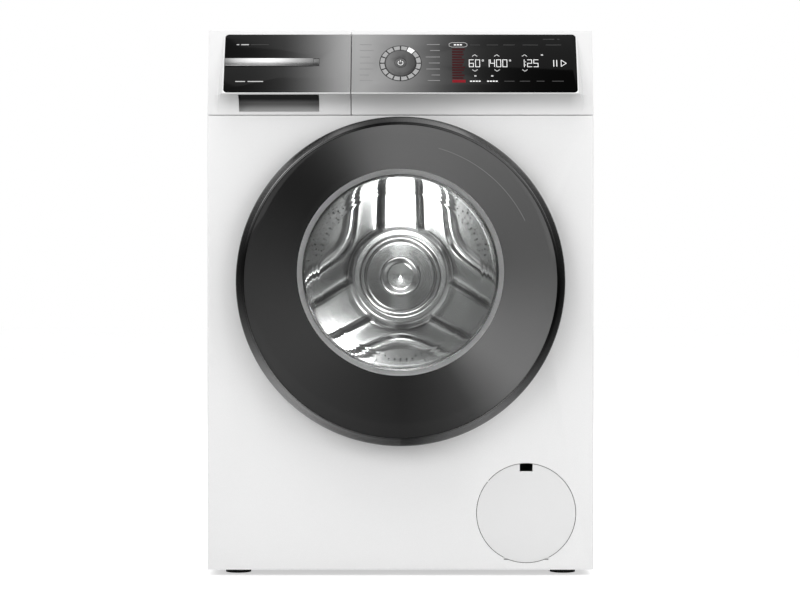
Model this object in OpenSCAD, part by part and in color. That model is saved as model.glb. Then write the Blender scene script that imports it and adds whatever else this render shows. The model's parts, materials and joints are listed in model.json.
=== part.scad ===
// Front load washing machine, built up from its separate panels, tub, drum, drive and door.
// Millimetres. +Z is up, -Y is the front, and the origin is on the floor at the centre of the footprint.
// Every module below draws in a working frame whose Y = 0 is the outer face of the front panel.

/* [Cabinet] */
// Overall width
body_w = 598; // [580:1:720]
// Overall height, feet screwed in
body_h = 848; // [840:1:1020]
// Depth from the front panel to the rearmost fitting
body_d = 590; // [580:1:710]
// Gap under the panels
foot_gap = 10; // [8:1:16]
// Thickness of the steel sheet
sheet = 1; // [0.8:0.1:1.4]
// Thickness of the worktop
worktop_t = 20; // [16:1:26]

/* [Control panel] */
// Height of the control panel band
fascia_h = 133.5; // [128:0.5:150]
// Depth of the control panel housing
fascia_d = 57.5; // [56:0.5:75]
// Wall of the plastic housings
fascia_t = 3; // [2.4:0.1:3.6]
// How far the band leans back at the top
fascia_lean = 29; // [24:1:32]
// How far the lower edge of the glass stands in front of the front panel
glass_proud = 22; // [18:1:24]
// Height of the glass's lower edge above the seam
glass_rise = 32.5; // [30:0.5:36]
// Width of the glass, drawer part included
glass_w = 546; // [520:1:560]
// Slant height of the glass
glass_l = 107; // [100:1:110]
// Thickness of the glass
glass_t = 3.2; // [2:0.1:4]
// Width of the detergent drawer's front
drawer_w = 222.5; // [200:0.5:240]
// Gap between neighbouring panels
seam = 1.2; // [0.8:0.1:2]
// Radius of the selector ring
selector_r = 23.3; // [20:0.1:28]
// Radius of the power button
power_r = 8.9; // [7:0.1:11]

/* [Detergent drawer] */
// Travel of the drawer
drawer_travel = 200; // [150:5:210]
// Length of the tray
tray_l = 240; // [225:5:250]
// Height of the tray
tray_h = 65; // [50:1:70]
// Wall of the tray
tray_t = 2.4; // [2:0.1:3]

/* [Drum and tub] */
// Height of the drum's axis
drum_z = 470; // [465:1:480]
// Outer radius of the drum
drum_r = 235; // [215:1:236]
// Thickness of the drum's sheet
drum_t = 1; // [0.6:0.1:1.5]
// Length of the drum's perforated shell
drum_l = 334; // [300:1:350]
// Space between drum and tub
tub_gap = 16; // [12:1:18]
// Wall of the tub
tub_t = 4; // [3:0.5:5]
// Radius of the drum pulley
pulley_r = 140; // [115:1:145]
// Radius of the motor pulley
motor_pulley_r = 10; // [8:0.5:14]
// Travel of the tub on its springs, each way
tub_travel = 8; // [4:1:8]

/* [Door] */
// Outer radius of the door
door_r = 253; // [251:1:254]
// How far the door stands in front of the front panel
door_proud = 46; // [44:1:50]
// Radius of the clear window
window_r = 158.5; // [156:0.5:160]
// How far the window's centre sits above the door's centre
window_rise = 13.8; // [10:0.1:16]
// Radius of the opening in the front panel
opening_r = 175; // [174:0.5:177]
// Distance of the hinge axis from the drum's axis
hinge_x = 228; // [227:0.5:229]
// Radius of the hinge pin
hinge_pin_r = 4; // [3:0.5:5]

/* [Service flap] */
// Radius of the round flap
flap_r = 76.4; // [70:0.1:80]
// Distance of the flap's centre from the right side
flap_inset = 104.4; // [98:0.1:112]
// Height of the flap's centre
flap_z = 97.6; // [95:0.1:108]

/* [Water connection] */
// Outer radius of the 3/4 inch inlet thread
inlet_r = 13.22; // [13:0.01:13.5]
// Length of the inlet thread
inlet_l = 15; // [12:0.5:15]

/* [Hidden] */
$fn = 96;

// Clearances
gap = 0.3;
fine_gap = 0.05;
eps = 0.01;
far = 2000;

// Cabinet
half_w = body_w / 2;
seam_z = body_h - fascia_h;
top_under = body_h - worktop_t;
side_front = 20;
flange_w = 16;
rear_y = body_d - 16;
rear_out = rear_y + sheet;
cover_rise = 14;
front_shift = -(body_d - door_proud) / 2;
tray_floor_z = foot_gap + 3;
tray_wall_h = 48;
tray_half_w = half_w - sheet - 0.2;

// Control panel: the glass plane
glass_z = seam_z + glass_rise;
lean_slope = fascia_lean / fascia_h;
glass_rim = 2;
glass_top_z = body_h - 6.1;
tilt = asin(sqrt(1 - pow((glass_top_z - glass_z) / glass_l, 2)));
split_x = -half_w + drawer_w;
drawer_depth = 44;
side_flare = 8;
cove_z = seam_z + 3;

// Drum, tub and drive
tub_in = drum_r + tub_gap;
tub_out = tub_in + tub_t;
tub_y = fascia_d + 2.5;
drum_y = tub_y + 30;
drum_end = drum_y + drum_l;
tub_split = tub_y + 190;
spider_end = drum_end + 15;
hub_y = spider_end + 3;
hub_end = hub_y + 52;
hub_r = 46;
tub_end = hub_y + 15;
pulley_y = hub_end + 6;
pulley_w = 16;
belt_t = 2.5;
belt_reach = 330;
motor_z = drum_z - belt_reach;
motor_r = 58;
motor_y = 340;
motor_l = 140;
motor_shaft_r = 6;
rotor_r = 28;
neck_in = 177;
neck_out = 180;
mouth_r = 170;
lifter_top = 188;
sump_half = 70;
sump_z = drum_z - tub_out - 18;
damper_x = 165;
damper_y = 300;
damper_rod_r = 9;
spring_x = 200;
spring_y = 330;
ear_z = drum_z + 185;
hose_x = -165;
hose_y = tub_y + 140;
bellows_r = 22;
shaft_seal_r = 22;
shaft_front_r = 15;
shaft_rear_r = 12.5;

// Dispenser housing
tray_x0 = -half_w + 14;
tray_x1 = split_x - 15.5;
tray_z = seam_z + 23;
house_gap = 4;
house_t = 2.5;
house_l = tray_l;

// Door
door_z = drum_z - window_rise;
hinge_y = -32;
hinge_spread = 45;
arm_t = 8;
ring_in = door_r - 13;
frame_r = door_r - 21.2;
latch_x = 198;
latch_y = -18;

// Service flap and pump
flap_x = half_w - flap_inset;
flap_hole_r = flap_r + 1;
flap_pin_z = flap_z - flap_r + 6.4;
flap_pin_y = 1.9;
flap_pin_r = 1;
pump_r = 34;
pump_y = 28;

// Rear fittings
inlet_x = -half_w + 59;
inlet_z = body_h - 68;

// ---- helpers -------------------------------------------------------------

// Puts the working frame into the part's frame
module place() {
    translate([0, front_shift, 0]) children();
}

// Extrudes an outline drawn in X and Z along +Y, from y0 to y1
module along_y(y0, y1) {
    translate([0, y1, 0]) rotate([90, 0, 0]) linear_extrude(y1 - y0) children();
}

// Extrudes an outline drawn in Y and Z along +X, from x0 to x1
module along_x(x0, x1) {
    translate([x0, 0, 0]) rotate([90, 0, 90]) linear_extrude(x1 - x0) children();
}

// A round rod along Y
module rod_y(x, z, r, y0, y1) {
    translate([x, y0, z]) rotate([-90, 0, 0]) cylinder(r = r, h = y1 - y0);
}

// A round rod along X
module rod_x(y, z, r, x0, x1) {
    translate([x0, y, z]) rotate([0, 90, 0]) cylinder(r = r, h = x1 - x0);
}

// A tube along Y
module tube_y(x, z, r_in, r_out, y0, y1) {
    difference() {
        rod_y(x, z, r_out, y0, y1);
        rod_y(x, z, r_in, y0 - 1, y1 + 1);
    }
}

// A tube along Z
module tube_z(x, y, r_in, r_out, z0, z1) {
    translate([x, y, z0]) difference() {
        cylinder(r = r_out, h = z1 - z0);
        translate([0, 0, -1]) cylinder(r = r_in, h = z1 - z0 + 2);
    }
}

// Revolves a profile of [radius, y] points about the Y axis through [0, z]
module spin(points, z) {
    translate([0, 0, z]) rotate([-90, 0, 0]) rotate_extrude() polygon(points);
}

// A box between two corners
module box(a, b) {
    translate(a) cube(b - a);
}

// A rectangle with round corners, centred
module round_rect(w, h, r) {
    square([w - 2 * r, h], center = true);
    square([w, h - 2 * r], center = true);
    for (sx = [-1, 1], sz = [-1, 1])
        translate([sx * (w / 2 - r), sz * (h / 2 - r)]) circle(r = r);
}

// Places children on the glass plane: X across, Y up the slant, Z out of the glass
module on_glass() {
    translate([0, -glass_proud, glass_z]) rotate([90 - tilt, 0, 0]) children();
}

// The middle of the glass
module at_selector() {
    on_glass() translate([0, glass_l / 2, 0]) children();
}

// Rings of points round a path, joined into one closed tube
function ring_points(path, i, r, n) =
    let (a = path[max(i - 1, 0)],
         b = path[min(i + 1, len(path) - 1)],
         d = (b - a) / norm(b - a),
         up = [0, 1, 0],
         u = cross(d, up) / norm(cross(d, up)),
         v = cross(d, u))
    [for (k = [0:n - 1]) path[i] + r * (cos(360 * k / n) * u + sin(360 * k / n) * v)];

module sweep(path, r, n) {
    m = len(path);
    points = [for (i = [0:m - 1]) each ring_points(path, i, r, n)];
    sides = [for (i = [0:m - 2], k = [0:n - 1])
        let (a = i * n + k, b = i * n + (k + 1) % n)
        [a, b, b + n, a + n]];
    caps = [[for (k = [0:n - 1]) n - 1 - k], [for (k = [0:n - 1]) (m - 1) * n + k]];
    polyhedron(points, concat([for (s = sides) [s[0], s[3], s[2], s[1]]],
        [for (c = caps) [for (k = [0:n - 1]) c[n - 1 - k]]]));
}

// ---- cabinet -------------------------------------------------------------

module side_panel() {
    field = [[90, 90], [rear_y - 80, seam_z - 60]];
    press = 3;
    difference() {
        union() {
            along_x(half_w - sheet, half_w) polygon([
                [side_front, foot_gap], [rear_y, foot_gap], [rear_y, top_under],
                [fascia_d + seam, top_under], [fascia_d + seam, seam_z - seam],
                [side_front, seam_z - seam]]);
            box([half_w - flange_w, side_front, foot_gap],
                [half_w, side_front + sheet, seam_z - seam]);
            box([half_w - flange_w, rear_y - sheet, foot_gap], [half_w, rear_y, top_under]);
            box([half_w - flange_w, fascia_d + seam, top_under - sheet],
                [half_w, rear_y, top_under]);
            box([half_w - sheet - press, field[0][0] - sheet, field[0][1] - sheet],
                [half_w, field[1][0] + sheet, field[1][1] + sheet]);
        }
        box([half_w - press, field[0][0], field[0][1]], [half_w + 1, field[1][0], field[1][1]]);
    }
}

module side_panels() {
    color("white") {
        side_panel();
        mirror([1, 0, 0]) side_panel();
    }
}

module rear_panel() {
    color("gainsboro") difference() {
        box([-half_w + sheet, rear_y, tray_floor_z], [half_w - sheet, rear_y + sheet, top_under - 1]);
        rod_y(0, drum_z, 150, rear_y - 1, rear_y + 2);
        rod_y(inlet_x, inlet_z, inlet_r + 3, rear_y - 1, rear_y + 2);
        for (p = transport_spots) rod_y(p[0], p[1], 11, rear_y - 1, rear_y + 2);
        for (p = gland_spots) rod_y(p[0], p[1], p[2], rear_y - 1, rear_y + 2);
        for (k = [0:6]) box([half_w - 170, rear_y - 1, 100 + 16 * k],
            [half_w - 90, rear_y + 2, 106 + 16 * k]);
    }
}

transport_spots = [for (sx = [-1, 1], dz = [-180, 170]) [sx * 150, drum_z + dz]];
// Mains gland and drain outlet: x, z, hole radius
gland_spots = [[half_w - 60, inlet_z, 12], [-half_w + 59, inlet_z - 90, 14]];

module rear_cover() {
    color("silver") {
        spin([[0, rear_out + cover_rise - sheet], [0, rear_out + cover_rise], [128, rear_out + cover_rise],
              [140, rear_out + 8], [143, rear_out + sheet], [165, rear_out + sheet], [165, rear_out],
              [142, rear_out], [139, rear_out + 7], [127.5, rear_out + cover_rise - sheet]], drum_z);
    }
}

module worktop() {
    back = body_d - 4;
    front = fascia_d + 0.5;
    color("white") translate([0, (front + back) / 2, top_under]) linear_extrude(worktop_t)
        round_rect(body_w, back - front, 4);
}

module front_panel() {
    top = seam_z - seam;
    fold_r = 3;
    depth = side_front - 1;
    color("white") difference() {
        union() {
            difference() {
                translate([0, 0, foot_gap]) linear_extrude(top - foot_gap) intersection() {
                    translate([0, depth]) round_rect(body_w, 2 * depth, fold_r);
                    translate([-half_w, 0]) square([body_w, depth]);
                }
                box([-half_w + sheet, sheet, foot_gap + sheet],
                    [half_w - sheet, depth + 1, top - sheet]);
                box([-half_w + flange_w, depth - 1, foot_gap - 1],
                    [half_w - flange_w, depth + 1, top + 1]);
            }
            rod_y(0, drum_z, opening_r + sheet, 0, 6);
            for (s = [-1, 1]) box([flap_x + s * 36 - 1.5, 0, flap_pin_z - 6],
                [flap_x + s * 36 + 1.5, 6, flap_pin_z + 1.4]);
        }
        rod_y(0, drum_z, opening_r, -1, 7);
        rod_y(flap_x, flap_z, flap_hole_r, -1, sheet + eps);
        rod_x(flap_pin_y, flap_pin_z, flap_pin_r + fine_gap, flap_x - 40, flap_x + 40);
        for (s = [-1, 1]) box([flap_x + s * 31.5 - 4, -1, flap_pin_z - flap_pin_y - gap],
            [flap_x + s * 31.5 + 4, sheet + eps, flap_pin_z + 2]);
        box([latch_x - 8, -1, drum_z - 14], [latch_x + 12, 2, drum_z + 14]);
    }
}

foot_spots = [for (sx = [-1, 1], y = [62, rear_y - 40]) [sx * (half_w - 44), y]];

module base_tray() {
    wall = 3;
    y0 = side_front + sheet + 0.2;
    y1 = rear_y - sheet - 0.2;
    color("dimgray") difference() {
        union() {
            difference() {
                box([-tray_half_w, y0, foot_gap], [tray_half_w, y1, foot_gap + tray_wall_h]);
                box([-tray_half_w + wall, y0 + wall, tray_floor_z],
                    [tray_half_w - wall, y1 - wall, foot_gap + tray_wall_h + 1]);
            }
            for (p = foot_spots) translate([p[0], p[1], tray_floor_z - eps]) cylinder(r = 14, h = 27);
            for (x = [-damper_x, damper_x]) for (s = [-1, 1])
                box([x - 30, damper_y + s * 32 - 2, tray_floor_z - eps],
                    [x + 30, damper_y + s * 32 + 2, tray_floor_z + 18]);
        }
        for (p = foot_spots) translate([p[0], p[1], foot_gap - 1]) cylinder(r = 5.2, h = 60);
    }
}

module cross_braces() {
    brace_top = top_under - sheet - 0.2;
    color("silver") {
        difference() {
            box([-half_w + sheet + 0.2, spring_y - 15, brace_top - 20],
                [half_w - sheet - 0.2, spring_y + 15, brace_top]);
            box([-half_w, spring_y - 13.5, brace_top - 18.5], [half_w, spring_y + 13.5, brace_top + 1]);
        }
        difference() {
            box([split_x + 10, fascia_d + 2, brace_top - 12],
                [half_w - sheet - 0.2, fascia_d + 17, brace_top]);
            box([split_x, fascia_d + 3.5, brace_top - 10.5], [half_w, fascia_d + 15.5, brace_top + 1]);
        }
    }
}

module levelling_feet() {
    pad_h = 5;
    color("black") for (p = foot_spots) translate([p[0], p[1], 0]) {
        cylinder(r = 20, h = pad_h);
        translate([0, 0, pad_h]) cylinder(r = 5, h = 38);
        translate([0, 0, pad_h + fine_gap]) difference() {
            cylinder(r = 9.8, h = foot_gap - pad_h - 2 * fine_gap, $fn = 6);
            translate([0, 0, -1]) cylinder(r = 5 + fine_gap, h = foot_gap);
        }
    }
}

// ---- control panel -------------------------------------------------------

// Outline of the plain band, leaning back, in Y and Z
module band_outline(back) {
    polygon([[0, seam_z], [fascia_lean, body_h], [back, body_h], [back, seam_z]]);
}

// Point on the glass plane, v up the slant and n behind the face, as [y, z]
function glass_point(v, n) = [-glass_proud + v * sin(tilt) + n * cos(tilt),
                              glass_z + v * cos(tilt) - n * sin(tilt)];

cove_low = [lean_slope * (cove_z - seam_z), cove_z];
cove_high = glass_point(-glass_rim, 0);
cove_r = (pow(cove_high[1] - cove_z, 2) + pow(cove_low[0] - cove_high[0], 2))
    / (2 * (cove_low[0] - cove_high[0]));

// The wedge that carries the glass, from x0 to x1; its outer end flares as it meets the band
module wedge(x0, x1, outer) {
    top = glass_point(glass_l + glass_rim, 0);
    left = outer < 0 ? side_flare : 0;
    right = outer > 0 ? side_flare : 0;
    deep = 24;
    difference() {
        intersection() {
            along_x(x0 - left, x1 + right) polygon([
                top, cove_high, cove_low, [14, cove_z], [top[0] + 6, top[1]]]);
            on_glass() translate([0, far / 4, 0]) rotate([90, 0, 0]) linear_extrude(far / 2)
                polygon([[x0, 1], [x1, 1], [x1, 0], [x1 + right, -deep], [x1 + right, -3 * deep],
                         [x0 - left, -3 * deep], [x0 - left, -deep], [x0, 0]]);
        }
        cove(cove_r + fine_gap);
    }
}

// The hollow curve under the glass
module cove(r) {
    rod_x(cove_low[0] - cove_r, cove_z, r, -far / 4, far / 4);
}

// The hollow behind the band, from x0 to x1, and behind the wedge, from w0 to w1
module band_hollow(x0, x1, w0, w1, back) {
    t = fascia_t;
    behind = glass_t + t;
    low = glass_point(4, behind);
    high = glass_point(glass_l - 2, behind);
    skin = behind + 1;
    along_x(x0, x1) polygon([[back + 1, seam_z + t], [skin + lean_slope * t, seam_z + t],
        [skin + fascia_lean - lean_slope * t, body_h - t], [back + 1, body_h - t]]);
    difference() {
        along_x(w0, w1) polygon([[back + 1, cove_z + 6], [t + 1, cove_z + 6], low, high,
            [high[0] + 2, body_h - t], [back + 1, body_h - t]]);
        cove(cove_r + t);
    }
}

// The recess that a glass plate sits in
module glass_recess(x0, x1, play) {
    on_glass() translate([0, 0, -glass_t - play]) linear_extrude(glass_t + 20)
        glass_outline(x0 - play, x1 + play, play);
}

// A glass plate's outline, with its two outer corners round
module glass_outline(x0, x1, play) {
    r = 6;
    left = x0 < split_x - 20;
    edge = left ? x0 + r : x1 - r;
    low = -play + r;
    high = glass_l + play - r;
    translate([left ? edge : x0, -play]) square([x1 - x0 - r, glass_l + 2 * play]);
    translate([x0, low]) square([x1 - x0, high - low]);
    for (v = [low, high]) translate([edge, v]) circle(r = r);
}

module control_fascia() {
    x0 = split_x + seam / 2;
    bar_y = drawer_depth + 1;
    color("white") difference() {
        union() {
            difference() {
                union() {
                    along_x(x0, half_w) band_outline(fascia_d);
                    wedge(x0, glass_w / 2 + glass_rim, 1);
                }
                band_hollow(x0 + fascia_t, half_w - fascia_t, x0 + fascia_t, glass_w / 2 - 1, fascia_d);
            }
            along_x(-half_w, x0 + fascia_t) polygon([[bar_y, seam_z], [bar_y, body_h],
                [fascia_d, body_h], [fascia_d, seam_z]]);
        }
        box([tray_x0 - house_gap, bar_y - 1, tray_z - house_gap],
            [tray_x1 + house_gap, fascia_d + 1, tray_z + tray_h + house_gap + 2]);
        glass_recess(x0, glass_w / 2, 0.1);
        at_selector() translate([0, 0, -20]) cylinder(r = selector_r + gap, h = 40);
    }
}

module fascia_glass() {
    color("dimgray") difference() {
        on_glass() translate([0, 0, -glass_t]) linear_extrude(glass_t)
            glass_outline(split_x + seam / 2, glass_w / 2, 0);
        at_selector() translate([0, 0, -20]) cylinder(r = selector_r + gap, h = 40);
    }
}

module control_board() {
    board_z = -14.6;
    color("darkgreen") {
        on_glass() {
            translate([split_x + 30, 20, board_z]) cube([glass_w / 2 - split_x - 60, glass_l - 42, 1.6]);
            translate([50, 28, board_z + 1.5]) cube([glass_w / 2 - 90, glass_l - 58, 5.7]);
            for (x = [split_x + 36, 30]) translate([x, 26, board_z - 9]) cube([14, 22, 9.1]);
            translate([80, 30, board_z - 12]) cube([40, 30, 12.1]);
        }
        at_selector() translate([0, 0, board_z + 1.5]) cylinder(r = 3.6, h = 1.5);
    }
}

module selector_ring() {
    color("dimgray") at_selector() difference() {
        union() {
            translate([0, 0, -glass_t]) cylinder(r = selector_r, h = glass_t + 0.6);
            translate([0, 0, 0.6]) cylinder(r1 = selector_r, r2 = selector_r - 0.6, h = 0.6);
            translate([0, 0, -10.5]) cylinder(r = power_r + 4, h = 8);
        }
        translate([0, 0, -20]) cylinder(r = power_r + gap, h = 40);
    }
}

module power_button() {
    color("gray") at_selector() {
        translate([0, 0, -8]) cylinder(r = power_r, h = 9);
        translate([0, 0, -10]) cylinder(r = 3, h = 2 + eps);
    }
}

// ---- detergent drawer ----------------------------------------------------

module drawer_front() {
    x1 = split_x - seam / 2;
    grip = [-half_w + 49, -half_w + 173];
    grip_y = cove_high[0] + 21;
    grip_z = cove_high[1] - 9;
    grip_r = 17;
    trim = 5;
    wall = 2.5;
    color("white") difference() {
        union() {
            difference() {
                union() {
                    along_x(-half_w, x1 + trim) band_outline(drawer_depth);
                    wedge(-glass_w / 2 - glass_rim, x1 + trim, -1);
                }
                band_hollow(-half_w + fascia_t, x1 - fascia_t, -glass_w / 2 + 1, x1 - fascia_t,
                    drawer_depth);
            }
            intersection() {
                rod_x(grip_y, grip_z, grip_r + wall, grip[0] - wall, grip[1] + wall);
                union() {
                    along_x(-half_w, x1) band_outline(drawer_depth - 4);
                    wedge(-glass_w / 2 - glass_rim, x1, -1);
                }
            }
        }
        rod_x(grip_y, grip_z, grip_r, grip[0], grip[1]);
        glass_recess(-glass_w / 2, x1 + trim, 0.1);
        box([x1, -far / 4, seam_z - 1], [x1 + 2 * trim, far / 4, body_h + 1]);
    }
}

module drawer_glass() {
    color("black") difference() {
        on_glass() translate([0, 0, -glass_t]) linear_extrude(glass_t)
            glass_outline(-glass_w / 2, split_x - seam / 2, 0);
        drawer_trim_solid(0.1);
    }
}

trim_v = [48.5, 62.5];
trim_inset = 49.5;
trim_l = glass_w / 2 + split_x - trim_inset;

module drawer_trim_solid(play) {
    on_glass() translate([-glass_w / 2 - play, trim_v[0] - play, -1.4 - play])
        cube([trim_l + 2 * play, trim_v[1] - trim_v[0] + 2 * play, 2.4 + 2 * play]);
}

module drawer_trim() {
    color("silver") difference() {
        drawer_trim_solid(0);
        on_glass() translate([-glass_w / 2 + trim_l - 9, trim_v[0] - 1, -0.6]) cube([20, 20, 10]);
    }
}

module drawer_tray() {
    y0 = drawer_depth;
    y1 = y0 + tray_l - 4;
    xm = [tray_x0 + 66, tray_x0 + 128];
    t = tray_t;
    color("aliceblue") {
        box([-half_w + fascia_t + gap, y0 - 3, seam_z + fascia_t + gap],
            [split_x - seam / 2 - fascia_t - gap, y0, body_h - fascia_t - gap]);
        difference() {
            box([tray_x0, y0, tray_z], [tray_x1, y1, tray_z + tray_h]);
            box([tray_x0 + t, y0 + t, tray_z + t], [xm[0] - t / 2, y1 - t, tray_z + tray_h + 1]);
            box([xm[0] + t / 2, y0 + t, tray_z + t], [xm[1] - t / 2, y1 - t, tray_z + tray_h + 1]);
            box([xm[1] + t / 2, y0 + t, tray_z + t], [tray_x1 - t, y1 - t, tray_z + tray_h + 1]);
        }
    }
}

module dispenser_housing() {
    y0 = fascia_d + 1;
    y1 = y0 + house_l;
    lo = [tray_x0 - house_gap - house_t, y0, tray_z - house_gap - house_t];
    hi = [tray_x1 + house_gap + house_t, y1, tray_z + tray_h + house_gap + house_t + 2];
    color("lightgray") {
        difference() {
            union() {
                box(lo, hi);
                translate([hose_x, hose_y, lo[2] - 15]) cylinder(r = 16, h = 16);
                rod_y(inlet_x, inlet_z, 7, y1 - 1, y1 + 14);
            }
            box(lo + [house_t, -1, house_t], hi - [house_t, house_t, house_t]);
            translate([hose_x, hose_y, lo[2] - 20]) cylinder(r = 13, h = 40);
            rod_y(inlet_x, inlet_z, 5, y1 - 10, y1 + 20);
        }
    }
}

module inlet_valve() {
    y0 = rear_y - 36;
    color("white") difference() {
        union() {
            box([inlet_x - 24, y0, inlet_z - 16], [inlet_x + 24, rear_y - 8, inlet_z + 16]);
            rod_y(inlet_x, inlet_z, inlet_r + 2.4, rear_y - 8 - eps, rear_y + sheet);
            rod_y(inlet_x, inlet_z, inlet_r, rear_y, rear_y + inlet_l + 1);
            rod_y(inlet_x, inlet_z, 7, y0 - 16, y0 + 1);
            translate([inlet_x - 12, y0 + 14, inlet_z - 46]) cylinder(r = 11, h = 31);
        }
        rod_y(inlet_x, inlet_z, 8.5, rear_y - 10, rear_y + 20);
        rod_y(inlet_x, inlet_z, 4.5, y0 - 20, rear_y - 9);
    }
}

// Rubber hoses: valve to dispenser, and dispenser to tub
module dispenser_hoses() {
    house_end = fascia_d + 1 + house_l;
    low = spigot_top - 10;
    high = tray_z - house_gap - house_t - 2;
    n = 5;
    step = (high - low - 16) / n;
    color("dimgray") {
        tube_y(inlet_x, inlet_z, 7 + fine_gap, 9.5, house_end + 2, rear_y - 36 - 2);
        translate([hose_x, hose_y, 0]) rotate_extrude() polygon(concat(
            [[16.05, high], [16.05, low], [19, low], [19, low + 8]],
            [for (k = [0:n - 1]) each [
                [bellows_r, low + 8 + (k + 0.3) * step],
                [bellows_r, low + 8 + (k + 0.6) * step],
                [18.5, low + 8 + (k + 0.95) * step]]],
            [[19, high - 8], [19, high]]));
    }
}

// ---- door lock, hinge and latch ------------------------------------------

module door_lock() {
    lo = [latch_x - 12.5, sheet, drum_z - 45];
    hi = [latch_x + 17, 45, drum_z + 45];
    color("gray") difference() {
        box(lo, hi);
        box([latch_x - 11, 0, drum_z - 15], [latch_x + 13, 36, drum_z + 15]);
        box([lo[0] - 1, 30, drum_z + 24], [hi[0] + 1, 46, drum_z + 46]);
    }
}

module hinge_bracket() {
    leg_x = [-hinge_x + 25, -hinge_x + 35];
    color("darkgray") {
        difference() {
            union() {
                box([-hinge_x + 20, -3, drum_z - 60], [-hinge_x + 40, 0, drum_z + 60]);
                for (s = [-1, 1]) translate([0, 0, drum_z + s * hinge_spread - arm_t / 2]) {
                    box([leg_x[0], hinge_y - 5, 0], [leg_x[1], -2, arm_t]);
                    box([-hinge_x, hinge_y - 5, 0], [leg_x[1], hinge_y + 5, arm_t]);
                    translate([-hinge_x, hinge_y, 0]) cylinder(r = 5, h = arm_t);
                }
            }
        }
        translate([-hinge_x, hinge_y, drum_z - hinge_spread])
            cylinder(r = hinge_pin_r, h = 2 * hinge_spread);
    }
}

module hinge_arm() {
    barrel = hinge_spread - arm_t / 2 - 0.5;
    color("silver") difference() {
        union() {
            translate([-hinge_x, hinge_y, drum_z - barrel]) cylinder(r = 8, h = 2 * barrel);
            box([-hinge_x, hinge_y - 4, drum_z - 36], [-hinge_x + 50, hinge_y + 4, drum_z + 36]);
            box([-hinge_x + 42, hinge_y, drum_z - 36], [-hinge_x + 50, -10, drum_z + 36]);
        }
        translate([-hinge_x, hinge_y, drum_z - far / 4])
            cylinder(r = hinge_pin_r + fine_gap, h = far / 2);
        for (dz = [-24, 24]) rod_y(-hinge_x + 30, drum_z + dz, 2.2, -60, 0);
    }
}

module latch_hook() {
    color("silver") difference() {
        union() {
            translate([latch_x, latch_y, drum_z - 9]) cylinder(r = 7, h = 18);
            box([latch_x - 3, latch_y, drum_z - 9], [latch_x + 3, 22, drum_z + 9]);
            box([latch_x - 3, 16, drum_z - 9], [latch_x + 8, 22, drum_z + 9]);
        }
        translate([latch_x, latch_y, drum_z - 20]) cylinder(r = 3 + fine_gap, h = 40);
        box([latch_x - 1, 2, drum_z - 5], [latch_x + 1, 12, drum_z + 5]);
    }
}

// ---- door ----------------------------------------------------------------

// Room for the fixed hinge arms as the door swings
module hinge_slots() {
    for (s = [-1, 1]) box([-hinge_x - 35, hinge_y + 7.5, drum_z + s * hinge_spread - 6],
        [-hinge_x + 40, 4, drum_z + s * hinge_spread + 6]);
}

module door_ring() {
    r = door_r;
    f = -door_proud;
    color("black") difference() {
        spin([[r - 13, f + 0.4], [r - 9.5, f], [r, f + 11], [r, f + 27], [r - 8, f + 38],
              [r - 21, f + 38], [r - 21, f + 35], [r - 9.2, f + 35], [r - 3, f + 26], [r - 3, f + 12.2],
              [r - 11.5, f + 6], [r - 19, f + 6], [r - 19, f + 3.6], [r - 13, f + 3.6]], door_z);
        hinge_slots();
    }
}

module door_cover() {
    color("gray") difference() {
        rod_y(0, door_z, ring_in - gap, -door_proud + 0.5, -door_proud + 3.5);
        rod_y(0, drum_z, window_r + 0.1, -door_proud - 1, -door_proud + 5);
    }
}

module door_window() {
    color("lightgray", 0.4) rod_y(0, drum_z, window_r, -door_proud + 0.7, -door_proud + 3.5);
}

// Outside of the glass bowl, as [radius, y], from the flange to the flat bottom
bowl_outside = [[150, -10.1], [149, 0], [146, 20], [142, 40], [137, 60], [131, 80], [124, 96],
                [118, 103], [110, 108.5], [100, 112], [88, 113]];
bowl_inside = [[146, -13.9], [145, 0], [142, 20], [138, 40], [133, 60], [127, 79], [120.5, 93.5],
               [115, 99.5], [108, 104.5], [99, 108], [88, 109]];

module door_bowl() {
    color("lightblue", 0.5) spin(concat([[0, 113], [0, 109]],
        [for (k = [len(bowl_inside) - 1:-1:0]) bowl_inside[k]],
        [[164, -13.9], [164, -10.1]], bowl_outside), drum_z);
}

module door_frame() {
    color("lightgray") difference() {
        union() {
            difference() {
                rod_y(0, door_z, frame_r, -10, -7);
                rod_y(0, drum_z, 152, -11, -6);
            }
            spin([[158.8, -42.4], [161.5, -42.4], [153.8, -16.5], [169, -16.5], [169, -9.5], [166, -9.5],
                  [166, -14], [149.5, -14]], drum_z);
            for (s = [-1, 1]) box([latch_x - 11, latch_y - 9, drum_z + s * 13.5 - 3],
                [latch_x + 11, -7, drum_z + s * 13.5 + 3]);
            translate([latch_x, latch_y, drum_z - 16]) cylinder(r = 3, h = 32);
        }
        box([latch_x - 11, -12, drum_z - 10.2], [latch_x + 16, -6, drum_z + 10.2]);
        hinge_slots();
    }
}

// ---- door seal -----------------------------------------------------------

module door_seal() {
    r = opening_r;
    color("gray") spin([
        [168, -3], [r + 8, -3], [r + 8, 0], [r - 0.4, 0], [r - 0.4, 9], [180, 12], [183, 17], [183, 21],
        [180, 26], [175, 29], [175, 33], [181, 37], [184, 42], [184, tub_y - 0.1],
        [neck_out + fine_gap, tub_y - 0.1], [neck_out + fine_gap, 44], [177.8, 40], [171.8, 35.4],
        [171.8, 27], [177, 24], [180, 20], [180, 18], [177, 14.6], [171.6, 12.6], [166, 14],
        [152, 13.5], [150.5, 10], [152, 8], [165, 7], [168, 3]], drum_z);
}

module seal_clamp() {
    wire = 1.6;
    color("silver") {
        translate([0, -wire, drum_z]) rotate([-90, 0, 0]) rotate_extrude()
            translate([opening_r + 8 + wire, 0]) circle(r = wire - 0.02);
        rod_x(-2 - fine_gap, drum_z - opening_r - 14, 2, -9, 9);
    }
}

// ---- tub -----------------------------------------------------------------

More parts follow.
